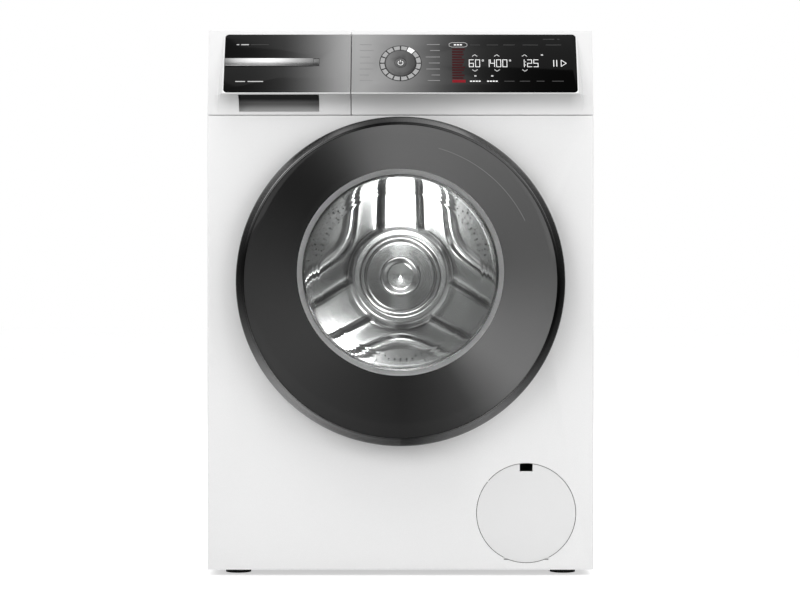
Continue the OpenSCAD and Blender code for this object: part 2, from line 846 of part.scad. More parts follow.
module tub_wall(y0, y1) {
    tube_y(0, drum_z, tub_in, tub_out, y0, y1);
}

spigot_top = drum_z + sqrt(pow(tub_out, 2) - pow(abs(hose_x) - bellows_r, 2)) + 12;

module tub_front() {
    color("lightgray") difference() {
        union() {
            tub_wall(tub_y, tub_split);
            tube_y(0, drum_z, tub_in, tub_out + 11, tub_split - 8, tub_split);
            tube_y(0, drum_z, neck_in, tub_out, tub_y, tub_y + tub_t);
            tube_y(0, drum_z, neck_in, neck_out, tub_y - 16, tub_y + tub_t);
            difference() {
                box([-sump_half, tub_y, sump_z], [sump_half, tub_split - 4, drum_z - 180]);
                rod_y(0, drum_z, tub_in + 1, tub_y - 1, tub_split + 1);
                box([-sump_half + 4, tub_y + tub_t, sump_z + 4],
                    [sump_half - 4, tub_split - 8, drum_z - 179]);
            }
            difference() {
                translate([hose_x, hose_y, drum_z + 150]) cylinder(r = 16, h = spigot_top - drum_z - 150);
                rod_y(0, drum_z, tub_in + 1, tub_y - 1, tub_split + 1);
            }
            translate([20, 150, sump_z - 22]) cylinder(r = 16, h = 23);
        }
        box([-sump_half + 4, tub_y + tub_t, sump_z + 4], [sump_half - 4, tub_split - 8, drum_z - 230]);
        box([-38, tub_y - 1, sump_z + 5], [38, tub_y + tub_t + 1, sump_z + 19]);
        translate([hose_x, hose_y, drum_z + 150]) cylinder(r = 13, h = 200);
        translate([20, 150, sump_z - 30]) cylinder(r = 12.5, h = 60);
    }
}

// Height over the axis at which the tub's inner wall is reached, at a place across it
function wall_reach(x) = sqrt(max(0, pow(tub_in, 2) - pow(x, 2)));

// A block that grows out of the tub's wall
module tub_lug(x0, x1, y0, y1, z0, z1) {
    difference() {
        box([x0, y0, z0], [x1, y1, z1]);
        rod_y(0, drum_z, tub_in + 1, y0 - 1, y1 + 1);
    }
}

module tub_rear() {
    ribs = 12;
    color("lightgray") difference() {
        union() {
            tub_wall(tub_split, tub_end + 4);
            tube_y(0, drum_z, tub_in, tub_out + 11, tub_split, tub_split + 8);
            rod_y(0, drum_z, tub_out, tub_end, tub_end + 4);
            rod_y(0, drum_z, hub_r, hub_y, hub_end);
            for (k = [0:ribs - 1]) translate([0, 0, drum_z]) rotate([0, 360 * k / ribs, 0])
                box([hub_r - 2, tub_end + 3, -2], [tub_out - 30, tub_end + 16, 2]);
            for (s = [-1, 1]) {
                tub_lug(s * damper_x - 16, s * damper_x + 16, damper_y - 16, damper_y + 16,
                    drum_z - 215, drum_z - wall_reach(damper_x + 16) + 3);
                tub_lug(s * spring_x - 15, s * spring_x + 15, spring_y - 15, spring_y + 15,
                    drum_z + wall_reach(spring_x + 15), ear_z);
            }
            for (y = [motor_y + 8, motor_y + motor_l - 22])
                tub_lug(-44, 44, y, y + 14, motor_z + motor_r + 2, drum_z - wall_reach(44) + 6);
        }
        rod_y(0, drum_z, 36, hub_y - 1, hub_y + 27);
        rod_y(0, drum_z, 26, hub_y + 20, hub_end + 1);
        rod_y(0, drum_z, 31, hub_y + 32, hub_end + 1);
    }
}

module tub_clips() {
    n = 10;
    color("silver") for (k = [0:n - 1]) translate([0, 0, drum_z]) rotate([0, 360 * (k + 0.5) / n, 0]) {
        translate([tub_out + 5.5, tub_split - 12, 0]) rotate([-90, 0, 0]) cylinder(r = 4, h = 4);
        translate([tub_out + 5.5, tub_split + 8, 0]) rotate([-90, 0, 0]) cylinder(r = 4.6, h = 4, $fn = 6);
    }
}

module upper_counterweight() {
    color("darkgray") difference() {
        box([-50, 84, drum_z + 150], [215, 298, drum_z + tub_out + 66]);
        rod_y(0, drum_z, tub_out + gap, 80, 300);
        tube_y(0, drum_z, tub_out, tub_out + 11.5, tub_split - 14, tub_split + 14);
        for (x = [0, 150]) translate([x, 130, 0]) cylinder(r = 7, h = far);
    }
}

module front_counterweight() {
    r_in = 192;
    r_out = tub_out - 3;
    color("darkgray") difference() {
        translate([0, 0, drum_z]) rotate([0, 20, 0]) rotate([-90, 0, 0])
            rotate_extrude(angle = 140) translate([r_in, 24]) square([r_out - r_in, tub_y - 24]);
        for (a = [30, 65, 115, 150]) translate([0, 0, drum_z]) rotate([0, a, 0])
            translate([(r_in + r_out) / 2, 0, 0]) rotate([-90, 0, 0]) cylinder(r = 5, h = far / 4);
    }
}

module motor() {
    y1 = motor_y + motor_l;
    color("dimgray") difference() {
        union() {
            rod_y(0, motor_z, motor_r, motor_y, y1);
            for (k = [0:5]) rod_y(0, motor_z, motor_r + 2, motor_y + 32 + 13 * k, motor_y + 36 + 13 * k);
            for (y = [motor_y + 8, y1 - 22]) {
                box([-44, y, motor_z + 20], [44, y + 14, motor_z + motor_r + 2]);
            }
        }
        rod_y(0, motor_z, rotor_r + 1, motor_y + 6, y1 - 6);
        tube_y(0, motor_z, rotor_r, motor_r - 5, motor_y + 6, motor_y + 30);
        tube_y(0, motor_z, rotor_r, motor_r - 5, y1 - 30, y1 - 6);
        rod_y(0, motor_z, motor_shaft_r + fine_gap, motor_y - 1, y1 + 1);
    }
}

module motor_rotor() {
    color("silver") {
        rod_y(0, motor_z, motor_shaft_r, motor_y - 4, pulley_y);
        rod_y(0, motor_z, rotor_r, motor_y + 32, motor_y + motor_l - 32);
        rod_y(0, motor_z, motor_pulley_r, pulley_y, pulley_y + pulley_w);
        for (y = [pulley_y - 2, pulley_y + pulley_w]) rod_y(0, motor_z, motor_pulley_r + 4, y, y + 2);
    }
}

module bearing(y, r_in, r_out, w) {
    t = (r_out - r_in) / 4;
    tube_y(0, drum_z, r_in, r_in + t, y, y + w);
    tube_y(0, drum_z, r_in + t, r_out - t, y + 1, y + w - 1);
    tube_y(0, drum_z, r_out - t, r_out, y, y + w);
}

module drum_bearings() {
    color("silver") {
        bearing(hub_y + 7, shaft_front_r + fine_gap, 36, 19);
        bearing(hub_y + 32, shaft_rear_r + fine_gap, 31, 17);
    }
}

module shaft_seal() {
    color("black") tube_y(0, drum_z, shaft_seal_r + fine_gap, 36, hub_y + 0.5, hub_y + 6.5);
}

module damper_rods() {
    head_z = drum_z - 215;
    color("silver") for (s = [-1, 1]) translate([s * damper_x, damper_y, 0]) {
        translate([0, 0, tray_floor_z + 67])
            cylinder(r = damper_rod_r, h = head_z - tray_floor_z - 67 - 12);
        translate([0, 0, head_z - 12]) cylinder(r = 14, h = 12);
    }
}

module damper_cylinders() {
    color("black") for (s = [-1, 1]) translate([s * damper_x, damper_y, tray_floor_z]) {
        difference() {
            union() {
                translate([-20, -20, 0]) cube([40, 40, 26]);
                cylinder(r = 17, h = 156);
            }
            translate([0, 0, 51]) cylinder(r = damper_rod_r + 0.4, h = 200);
        }
    }
}

// A coil whose two end turns lie flat
function spring_path(z0, z1, r, turns, steps) =
    [for (k = [-0.75 * steps:(turns + 0.75) * steps])
        let (t = min(max(k / steps, 0), turns))
        [r * cos(360 * k / steps), r * sin(360 * k / steps), z0 + (z1 - z0) * t / turns]];

// Rings of points round an upright coil, each ring in the plane of the axis
function coil_points(path, i, r, n) =
    let (p = path[i], u = [p[0], p[1], 0] / norm([p[0], p[1]]))
    [for (k = [0:n - 1]) p + r * (cos(360 * k / n) * u + sin(360 * k / n) * [0, 0, 1])];

module coil(path, r, n) {
    m = len(path);
    points = [for (i = [0:m - 1]) each coil_points(path, i, r, n)];
    sides = [for (i = [0:m - 2], k = [0:n - 1])
        let (a = i * n + k, b = i * n + (k + 1) % n)
        [a, b, b + n, a + n]];
    polyhedron(points, concat([[for (k = [0:n - 1]) n - 1 - k]], sides,
        [[for (k = [0:n - 1]) (m - 1) * n + k]]));
}

module suspension_springs() {
    top = top_under - sheet - 0.2 - 20;
    color("silver") for (s = [-1, 1]) translate([s * spring_x, spring_y, 0])
        coil(spring_path(ear_z + 2, top - 2, 12, 10, 12), 2, 6);
}

module drive_belt() {
    module loop(extra) {
        hull() {
            translate([0, drum_z]) circle(r = pulley_r + extra);
            translate([0, motor_z]) circle(r = motor_pulley_r + extra);
        }
    }
    color("black") along_y(pulley_y + 2, pulley_y + pulley_w - 2) difference() {
        loop(gap + belt_t);
        loop(gap);
    }
}

module heater() {
    z = sump_z + 12;
    rod = 4;
    reach = tub_split - 50;
    color("silver") {
        for (x = [-28, 28]) rod_y(x, z, rod, tub_y - 8, reach);
        translate([0, reach, z]) rotate_extrude(angle = 180)
            translate([28, 0]) circle(r = rod);
        box([-37, tub_y - 8, z - 6.5], [37, tub_y + tub_t, z + 6.5]);
        box([-4, tub_y - 14, z - 3], [4, tub_y - 8, z + 3]);
    }
}

function bezier(a, b, c, d, t) = pow(1 - t, 3) * a + 3 * pow(1 - t, 2) * t * b
    + 3 * (1 - t) * t * t * c + t * t * t * d;

module sump_hose() {
    top = [20, 150, sump_z - 4];
    bottom = [flap_x - pump_r - 4, 75, flap_z + 5];
    path = [for (k = [0:14]) bezier(top, top - [0, 0, 105], bottom - [85, 0, 0], bottom, k / 14)];
    color("black") difference() {
        sweep(path, 18, 14);
        translate([top[0], top[1], sump_z - 22 - 2 * gap]) cylinder(r = 16 + fine_gap, h = 40);
        rod_x(75, flap_z + 5, 14 + fine_gap, flap_x - pump_r - 17, flap_x);
    }
}

// ---- drum ----------------------------------------------------------------

module drum_shell() {
    color("silver") tube_y(0, drum_z, drum_r - drum_t, drum_r, drum_y, drum_end);
}

module drum_front() {
    t = 1.2;
    color("silver") spin([
        [drum_r - drum_t, drum_y], [drum_r, drum_y], [drum_r, drum_y - 3], [drum_r - 6, drum_y - 10],
        [mouth_r + 6, drum_y - 16], [mouth_r, drum_y - 14], [mouth_r, drum_y - 4],
        [mouth_r + t, drum_y - 4], [mouth_r + t, drum_y - 13], [mouth_r + 6, drum_y - 16 + t],
        [drum_r - 6.6, drum_y - 10 + t], [drum_r - drum_t, drum_y - 2.6]], drum_z);
}

// The drum's rear disc: a three-armed pressing round a hub
module drum_back() {
    arm_h = 8;
    color("silver") {
        rod_y(0, drum_z, drum_r, drum_end, drum_end + 1.5);
        difference() {
            union() {
                for (a = [90, 210, 330]) translate([0, 0, drum_z]) rotate([0, -a, 0])
                    box([0, drum_end - arm_h, -31], [drum_r - 24, drum_end + 0.5, 31]);
                rod_y(0, drum_z, 72, drum_end - arm_h - 4, drum_end + 0.5);
                rod_y(0, drum_z, 30, drum_end - arm_h - 12, drum_end);
            }
            tube_y(0, drum_z, 52, 55, drum_end - 40, drum_end - arm_h - 2);
        }
    }
}

module drum_lifters() {
    color("silver") for (a = [30, 150, 270]) translate([0, 0, drum_z]) rotate([0, -a, 0]) intersection() {
        rotate([-90, 0, 0]) translate([0, 0, drum_y + 10]) linear_extrude(drum_l - 26)
            union() {
                polygon([[drum_r, -34], [lifter_top + 12, -16], [lifter_top + 8, -12], [lifter_top + 8, 12],
                         [lifter_top + 12, 16], [drum_r, 34]]);
                for (s = [-1, 1]) translate([lifter_top + 8, s * 8]) circle(r = 8);
                translate([lifter_top, -8]) square([10, 16]);
            }
        rotate([-90, 0, 0]) cylinder(r = drum_r - drum_t, h = far / 2);
    }
}

module drum_spider() {
    color("gray") difference() {
        union() {
            rod_y(0, drum_z, 34, drum_end + 1.5, spider_end);
            for (a = [90, 210, 330]) translate([0, 0, drum_z]) rotate([0, -a, 0]) {
                box([20, drum_end + 1.5, -22], [drum_r - 8, drum_end + 7, 22]);
                for (s = [-1, 1])
                    box([20, drum_end + 1.5, s * 18 - 2.5], [drum_r - 24, spider_end, s * 18 + 2.5]);
            }
            rod_y(0, drum_z, shaft_seal_r, spider_end - 1, hub_y + 6.8);
            rod_y(0, drum_z, shaft_front_r, hub_y + 6, hub_y + 28);
            rod_y(0, drum_z, shaft_rear_r, hub_y + 27, pulley_y + pulley_w);
        }
        rod_y(0, drum_z, 4, pulley_y - 10, far / 2);
    }
}

module drum_pulley() {
    spokes = 6;
    y1 = pulley_y + pulley_w;
    color("silver") {
        difference() {
            union() {
                tube_y(0, drum_z, pulley_r - 9, pulley_r, pulley_y, y1);
                tube_y(0, drum_z, pulley_r - 9, pulley_r + 1.5, pulley_y, pulley_y + 1.4);
                tube_y(0, drum_z, pulley_r - 9, pulley_r + 1.5, y1 - 1.4, y1);
                rod_y(0, drum_z, 27, pulley_y, y1);
                for (k = [0:spokes - 1]) translate([0, 0, drum_z]) rotate([0, 360 * k / spokes, 0])
                    box([20, pulley_y + 4, -8], [pulley_r - 8, y1 - 4, 8]);
            }
            rod_y(0, drum_z, shaft_rear_r, pulley_y - 1, y1 + 1);
        }
        translate([0, y1, drum_z]) rotate([-90, 0, 0]) cylinder(r = 10, h = 7, $fn = 6);
    }
}

// ---- pump, filter and service flap ----------------------------------------

module drain_pump() {
    y_vol = pump_y + 92;
    color("lightgray") difference() {
        union() {
            rod_y(flap_x, flap_z, pump_r, pump_y, y_vol + 22);
            rod_y(flap_x, flap_z, pump_r + 5, pump_y, pump_y + 6);
            rod_y(flap_x, flap_z, 28, y_vol + 20, y_vol + 78);
            rod_x(75, flap_z + 5, 14, flap_x - pump_r - 16, flap_x);
            translate([flap_x - 24, y_vol + 11, flap_z]) cylinder(r = 9, h = 62);
            box([flap_x - 30, pump_y + 20, foot_gap + 3.2], [flap_x + 30, pump_y + 70, flap_z - 20]);
        }
        rod_y(flap_x, flap_z, pump_r - 3, pump_y - 1, y_vol);
        rod_y(flap_x, flap_z, 24, y_vol - 1, y_vol + 19);
        rod_x(75, flap_z + 5, 11, flap_x - pump_r - 20, flap_x);
        translate([flap_x - 24, y_vol + 11, flap_z - 4]) cylinder(r = 6.5, h = 100);
        rod_y(flap_x, flap_z, 2.5 + fine_gap, y_vol + 10, y_vol + 50);
    }
}

module pump_impeller() {
    y0 = pump_y + 92 + 3;
    color("white") {
        rod_y(flap_x, flap_z, 6, y0, y0 + 14);
        rod_y(flap_x, flap_z, 2.5, y0 + 13, y0 + 40);
        for (k = [0:3]) translate([flap_x, 0, flap_z]) rotate([0, 45 + 90 * k, 0])
            box([4, y0, -1.2], [21, y0 + 13, 1.2]);
    }
}

module filter_plug() {
    color("dimgray") {
        rod_y(flap_x, flap_z, 33, pump_y - 8, pump_y - 0.4);
        rod_y(flap_x, flap_z, 30.6, pump_y - 1, pump_y + 12);
        box([flap_x - 27, pump_y - 20, flap_z - 5], [flap_x + 27, pump_y - 7, flap_z + 5]);
    }
}

module filter_basket() {
    y0 = pump_y + 12.3;
    y1 = pump_y + 84;
    color("whitesmoke") difference() {
        rod_y(flap_x, flap_z, 27, y0, y1);
        rod_y(flap_x, flap_z, 24.5, y0 + 3, y1 + 1);
        for (k = [0:4]) box([flap_x - 40, y0 + 8 + 13 * k, flap_z - 14],
            [flap_x + 40, y0 + 16 + 13 * k, flap_z + 14]);
    }
}

module service_flap() {
    slot = [10, 11.7];
    top = flap_z + flap_r;
    color("white") {
        difference() {
            union() {
                rod_y(flap_x, flap_z, flap_r, 0, 3);
                tube_y(flap_x, flap_z, flap_r - 9, flap_r - 6, 2, 9);
                for (x = [-30, 30]) box([flap_x + x - 1, 2, flap_z - 52], [flap_x + x + 1, 7, flap_z + 52]);
            }
            box([flap_x - slot[0], -1, top - slot[1]], [flap_x + slot[0], 12, top + 2]);
            box([flap_x - 45, 3, flap_pin_z - 20], [flap_x + 45, 12, flap_pin_z + 8]);
        }
        for (s = [-1, 1]) rod_x(flap_pin_y, flap_pin_z, flap_pin_r,
            s > 0 ? flap_x + 27 : flap_x - 37.5, s > 0 ? flap_x + 37.5 : flap_x - 27);
    }
}

// ---- rear fittings -------------------------------------------------------

module rear_glands() {
    color("black") {
        for (p = gland_spots) difference() {
            union() {
                rod_y(p[0], p[1], p[2] - 0.2, rear_y - 8, rear_y + 8);
                rod_y(p[0], p[1], p[2] + 4, rear_y + sheet, rear_y + 4);
            }
            rod_y(p[0], p[1], p[2] - 6, rear_y - 20, rear_y + 20);
        }
    }
}

module transport_caps() {
    color("gainsboro") for (p = transport_spots) {
        rod_y(p[0], p[1], 14, rear_y + sheet, rear_y + 4);
        rod_y(p[0], p[1], 10.7, rear_y - 8, rear_y + sheet + eps);
    }
}

// A slotted screw head on a face at y, standing out towards +Y (out = 1) or -Y (out = -1)
module screw_y(x, z, y, out) {
    head = 2.4;
    mid = y + out * head / 2;
    difference() {
        rod_y(x, z, 4, mid - head / 2, mid + head / 2);
        box([x - 0.6, mid + (out > 0 ? 0 : -2), z - 3], [x + 0.6, mid + (out > 0 ? 2 : 0), z + 3]);
    }
}

module case_screws() {
    color("silver") {
        for (sx = [-1, 1], k = [0:3])
            screw_y(sx * (half_w - 10), 60 + k * (top_under - 120) / 3, rear_y + sheet, 1);
        for (k = [0:7]) screw_y(155 * cos(45 * k + 22.5), drum_z + 155 * sin(45 * k + 22.5), rear_out + sheet, 1);
        for (dz = [-55.5, -20, 20, 55.5]) screw_y(-hinge_x + 30, drum_z + dz, -3, -1);
    }
}

// ---- assembly ------------------------------------------------------------

place() {
    side_panels();
    rear_panel();
    rear_cover();
    worktop();
    front_panel();
    base_tray();
    cross_braces();
    levelling_feet();
    control_fascia();
    fascia_glass();
    control_board();
    dispenser_housing();
    inlet_valve();
    door_lock();
    hinge_bracket();
    drain_pump();
    damper_cylinders();
    rear_glands();
    case_screws();
    transport_caps();
    door_seal();
    seal_clamp();
    suspension_springs();
    dispenser_hoses();
    sump_hose();
    tub_front();
    tub_rear();
    tub_clips();
    upper_counterweight();
    front_counterweight();
    motor();
    drum_bearings();
    shaft_seal();
    damper_rods();
    drive_belt();
    heater();
    drum_shell();
    drum_front();
    drum_back();
    drum_lifters();
    drum_spider();
    drum_pulley();
    motor_rotor();
    door_ring();
    door_cover();
    door_window();
    door_bowl();
    door_frame();
    hinge_arm();
    latch_hook();
    drawer_front();
    drawer_glass();
    drawer_trim();
    drawer_tray();
    selector_ring();
    power_button();
    service_flap();
    filter_plug();
    filter_basket();
    pump_impeller();
}
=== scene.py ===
# %% [markdown]
# # A front load washing machine
# A washing machine is a white steel box round a tub that hangs on springs. What the eye meets first is the
# door: a smoked glass disc in a dark metal rim, with a clear window that shows the drum's pressed rear disc.
# This script loads the working model as a fixed frame, then makes each visible surface as finely as the real one:
# soft edges on the panels, a real glass bowl, a perforated drum, a rubber bellows and a lit display.

# %% The frame
import json
from math import atan2, cos, degrees, exp, hypot, log, pi, radians, sin
import bmesh
import bpy
from mathutils import Matrix, Vector

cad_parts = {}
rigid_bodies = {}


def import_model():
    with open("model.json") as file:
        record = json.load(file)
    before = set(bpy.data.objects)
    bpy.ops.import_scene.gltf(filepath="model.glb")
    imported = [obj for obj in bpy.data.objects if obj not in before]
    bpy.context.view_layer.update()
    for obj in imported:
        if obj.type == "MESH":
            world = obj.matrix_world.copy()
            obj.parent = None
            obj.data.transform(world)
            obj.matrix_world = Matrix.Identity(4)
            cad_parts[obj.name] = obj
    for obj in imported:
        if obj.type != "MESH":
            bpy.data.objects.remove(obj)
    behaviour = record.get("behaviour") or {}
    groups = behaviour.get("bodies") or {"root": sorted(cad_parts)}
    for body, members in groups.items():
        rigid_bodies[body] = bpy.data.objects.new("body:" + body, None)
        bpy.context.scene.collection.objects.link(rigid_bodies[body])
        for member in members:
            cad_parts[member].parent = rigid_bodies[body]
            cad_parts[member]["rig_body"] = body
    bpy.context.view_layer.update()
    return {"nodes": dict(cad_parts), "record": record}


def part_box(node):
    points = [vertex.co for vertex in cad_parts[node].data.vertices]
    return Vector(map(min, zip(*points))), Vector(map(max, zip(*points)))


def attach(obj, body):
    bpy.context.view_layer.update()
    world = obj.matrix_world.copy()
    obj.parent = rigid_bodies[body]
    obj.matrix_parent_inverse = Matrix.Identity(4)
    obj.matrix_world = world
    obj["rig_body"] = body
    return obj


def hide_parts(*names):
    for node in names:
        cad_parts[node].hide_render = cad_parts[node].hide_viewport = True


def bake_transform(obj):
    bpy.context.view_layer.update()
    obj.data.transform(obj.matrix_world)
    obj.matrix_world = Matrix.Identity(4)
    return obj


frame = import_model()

NODE_SLOT = {s["node"]: s["material_slot"] for s in frame["record"]["subparts"]}
print("nodes in the frame:", len(frame["nodes"]))

# %% [markdown]
# Sizes come from the frame, so that a piece lands where its neighbours are. The rest of the script counts in
# millimetres from the middle of the front panel's outer face, as a fitter would, and `at` turns such a place into
# the frame's metres.

# %% Places taken from the frame
MM = 0.001


def box_mm(node):
    """Lowest and highest corner of a node in millimetres, with y measured from the front panel's face."""
    low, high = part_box(node)
    shift = Vector((0, FRONT, 0))
    return (low - shift) / MM, (high - shift) / MM


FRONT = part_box("front_panel")[0].y


def at(x, y, z):
    return Vector((x * MM, FRONT + y * MM, z * MM))


def middle(node):
    low, high = box_mm(node)
    return (low + high) / 2


DRUM_Z = middle("drum_shell").z
DOOR_Z = middle("door_ring").z
DRUM_LOW, DRUM_HIGH = box_mm("drum_shell")
DRUM_R = (DRUM_HIGH.x - DRUM_LOW.x) / 2
DOOR_R = (box_mm("door_ring")[1].x - box_mm("door_ring")[0].x) / 2
WINDOW_R = (box_mm("door_window")[1].x - box_mm("door_window")[0].x) / 2
DOOR_FRONT = box_mm("door_ring")[0].y
print(f"drum radius {DRUM_R:.1f} at height {DRUM_Z:.1f}, door radius {DOOR_R:.1f}, window {WINDOW_R:.1f}")

# %% [markdown]
# The camera stands straight in front, three and a half metres away and a little under half the machine's height,
# with a lens of about 100 mm. That is how a catalogue shows such a machine: almost without perspective.

# %% Camera
camera_data = bpy.data.cameras.new("camera")
camera_data.sensor_width = 36
camera_data.lens = 101.7
camera = bpy.data.objects.new("camera", camera_data)
bpy.context.scene.collection.objects.link(camera)
camera.location = at(-0.8, -3500, 427.6)
camera.rotation_euler = (radians(90), 0, 0)
bpy.context.scene.camera = camera
bpy.context.scene.view_settings.view_transform = "Standard"
print("camera at", [round(c, 3) for c in camera.location])

# %% [markdown]
# ## Ways to make a piece
# Three helpers do most of the mesh work. `lathe` spins an outline round the drum's direction, as a potter's wheel
# would. `refined` takes a panel from the frame and rounds its edges, because pressed and moulded parts never have
# sharp ones and a rounded edge catches a thin line of light. `finish_piece` hangs the result on its body.

# %% Finish a piece
def finish_piece(obj, material, body, nodes=()):
    """Gives a mesh its material, lets it ride on a body and stand for CAD nodes."""
    obj.data.materials.clear()
    obj.data.materials.append(material)
    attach(obj, body)
    if nodes:
        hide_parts(*nodes)
    return obj


def object_from(name, mesh):
    obj = bpy.data.objects.new(name, mesh)
    bpy.context.scene.collection.objects.link(obj)
    return obj


def smooth_by_angle(mesh, angle=35):
    mesh.shade_smooth()
    mesh.set_sharp_from_angle(angle=radians(angle))


def mesh_object(name, bm, angle=35, merge=1e-6):
    """A named object from a bmesh whose faces are turned outwards."""
    bmesh.ops.remove_doubles(bm, verts=bm.verts, dist=merge)
    bmesh.ops.recalc_face_normals(bm, faces=bm.faces)
    mesh = bpy.data.meshes.new(name)
    bm.to_mesh(mesh)
    bm.free()
    smooth_by_angle(mesh, angle)
    return object_from(name, mesh)


def with_modifiers(obj, *steps):
    """Adds modifiers from (type, settings) pairs and makes their result the object's own mesh."""
    for kind, settings in steps:
        modifier = obj.modifiers.new(kind.lower(), kind)
        for key, value in settings.items():
            setattr(modifier, key, value)
    graph = bpy.context.evaluated_depsgraph_get()
    mesh = bpy.data.meshes.new_from_object(obj.evaluated_get(graph))
    obj.modifiers.clear()
    obj.data = mesh
    return obj


# %% Round the corners of an outline
def rounded(points, radius, steps=4):
    """Replaces each corner of a closed outline with a short curve."""
    curve = []
    for i, corner in enumerate(points):
        here = Vector(corner)
        back = Vector(points[i - 1]) - here
        ahead = Vector(points[(i + 1) % len(points)]) - here
        reach = min(radius, back.length * 0.45, ahead.length * 0.45)
        start = here + back.normalized() * reach
        end = here + ahead.normalized() * reach
        for k in range(steps + 1):
            t = k / steps
            curve.append((1 - t) ** 2 * start + 2 * t * (1 - t) * here + t * t * end)
    return [(p.x, p.y) for p in curve]


def lathe(name, profile, axis_z, steps=240):
    """Spins a closed outline of (radius, y) points about the line x = 0, z = axis_z."""
    bm = bmesh.new()
    rings = []
    for k in range(steps):
        turn = 2 * pi * k / steps
        rings.append([bm.verts.new(at(r * cos(turn), y, axis_z + r * sin(turn))) for r, y in profile])
    for k, ring in enumerate(rings):
        ahead = rings[(k + 1) % steps]
        for i in range(len(profile)):
            j = (i + 1) % len(profile)
            if profile[i][0] or profile[j][0]:
                bm.faces.new((ring[i], ring[j], ahead[j], ahead[i]))
    return mesh_object(name, bm)


# %% Round the edges of a CAD panel
def refined(name, nodes, material, width=0.6, angle=32, segments=2):
    """A copy of CAD nodes with rounded edges, which then stands for them."""
    bm = bmesh.new()
    for node in nodes:
        bm.from_mesh(frame["nodes"][node].data)
    bmesh.ops.remove_doubles(bm, verts=bm.verts, dist=2e-5)
    bmesh.ops.dissolve_limit(bm, angle_limit=radians(0.6), verts=bm.verts, edges=bm.edges)
    mesh = bpy.data.meshes.new(name)
    bm.to_mesh(mesh)
    bm.free()
    obj = object_from(name, mesh)
    bevel = {"width": width * MM, "segments": segments, "limit_method": "ANGLE",
             "angle_limit": radians(angle), "use_clamp_overlap": True, "harden_normals": False}
    with_modifiers(obj, ("BEVEL", bevel))
    smooth_by_angle(obj.data, 40)
    body = frame["nodes"][nodes[0]]["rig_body"]
    finish_piece(obj, material, body, nodes)
    print(f"{name}: {len(obj.data.polygons)} faces from {', '.join(nodes)}")
    return obj

# %% Cut slots out of a piece
def cut_boxes(obj, boxes):
    """Takes boxes, each given by two corners in millimetres, out of a closed piece."""
    bm = bmesh.new()
    for low, high in boxes:
        made = bmesh.ops.create_cube(bm, size=1)["verts"]
        size = (Vector(high) - Vector(low)) * MM
        bmesh.ops.scale(bm, vec=size, verts=made)
        bmesh.ops.translate(bm, vec=(at(*low) + at(*high)) / 2, verts=made)
    cutter = mesh_object("cutter", bm)
    with_modifiers(obj, ("BOOLEAN", {"object": cutter, "solver": "EXACT"}))
    bpy.data.objects.remove(cutter)
    smooth_by_angle(obj.data, 35)
    return obj


# %% [markdown]
# ## Finishes
# Nothing on the machine is one flat colour. Lacquer has orange peel, moulded plastic a fine grain, zinc its
# cloudy spangle and rubber a chalky bloom. All of them are the same idea with other numbers: a slow noise that
# drifts between two tones, a quick noise for the gloss, and a bump of a few hundredths of a millimetre. So one
# node group, `grain`, makes them all. Stretching its coordinates along one axis turns the grain into brushing.

# %% Node helpers
def add(tree, kind, props=None, **inputs):
    """Adds a node. A key such as i2 fills input number 2, any other key fills the input of that name."""
    node = tree.nodes.new(kind)
    for key, value in (props or {}).items():
        setattr(node, key, value)
    for key, value in inputs.items():
        socket = node.inputs[int(key[1:])] if key[1:].isdigit() else node.inputs[key.replace("_", " ")]
        if isinstance(value, bpy.types.NodeSocket):
            tree.links.new(value, socket)
        else:
            socket.default_value = value
    return node


def tone(level, tint=(1, 1, 1)):
    """A grey from 0 (black) to 255 (white) as the eye reads it, in the linear values that shaders use."""
    return tuple(((level / 255) ** 2.2) * t for t in tint) + (1,)


# %% The grain group
GRAIN_INPUTS = [("Tone A", "Color", (0.5, 0.5, 0.5, 1)), ("Tone B", "Color", (0.6, 0.6, 0.6, 1)),
                ("Patch Scale", "Float", 8.0), ("Grain Scale", "Float", 900.0), ("Grain Height", "Float", 2e-5),
                ("Rough Low", "Float", 0.3), ("Rough High", "Float", 0.4), ("Stretch", "Vector", (1, 1, 1))]


def make_grain():
    tree = bpy.data.node_groups.new("grain", "ShaderNodeTree")
    for name, kind, value in GRAIN_INPUTS:
        socket = tree.interface.new_socket(name, in_out="INPUT", socket_type="NodeSocket" + kind)
        socket.default_value = value
    for name, kind in (("Color", "Color"), ("Roughness", "Float"), ("Normal", "Vector")):
        tree.interface.new_socket(name, in_out="OUTPUT", socket_type="NodeSocket" + kind)
    given = add(tree, "NodeGroupInput").outputs
    place = add(tree, "ShaderNodeTexCoord").outputs["Object"]
    place = add(tree, "ShaderNodeVectorMath", {"operation": "MULTIPLY"}, i0=place, i1=given["Stretch"]).outputs[0]
    patch = add(tree, "ShaderNodeTexNoise", Vector=place, Scale=given["Patch Scale"], Detail=3.0)
    fine = add(tree, "ShaderNodeTexNoise", Vector=place, Scale=given["Grain Scale"], Detail=2.0)
    colour = add(tree, "ShaderNodeMix", {"data_type": "RGBA"}, i0=patch.outputs[0],
                 i6=given["Tone A"], i7=given["Tone B"])
    rough = add(tree, "ShaderNodeMapRange", Value=fine.outputs[0], i1=0.3, i2=0.7,
                i3=given["Rough Low"], i4=given["Rough High"])
    bump = add(tree, "ShaderNodeBump", Height=fine.outputs[0], Distance=given["Grain Height"], Strength=1.0)
    add(tree, "NodeGroupOutput", i0=colour.outputs[2], i1=rough.outputs[0], i2=bump.outputs[0])
    return tree


GRAIN = make_grain()
print("grain group with", len(GRAIN_INPUTS), "inputs")


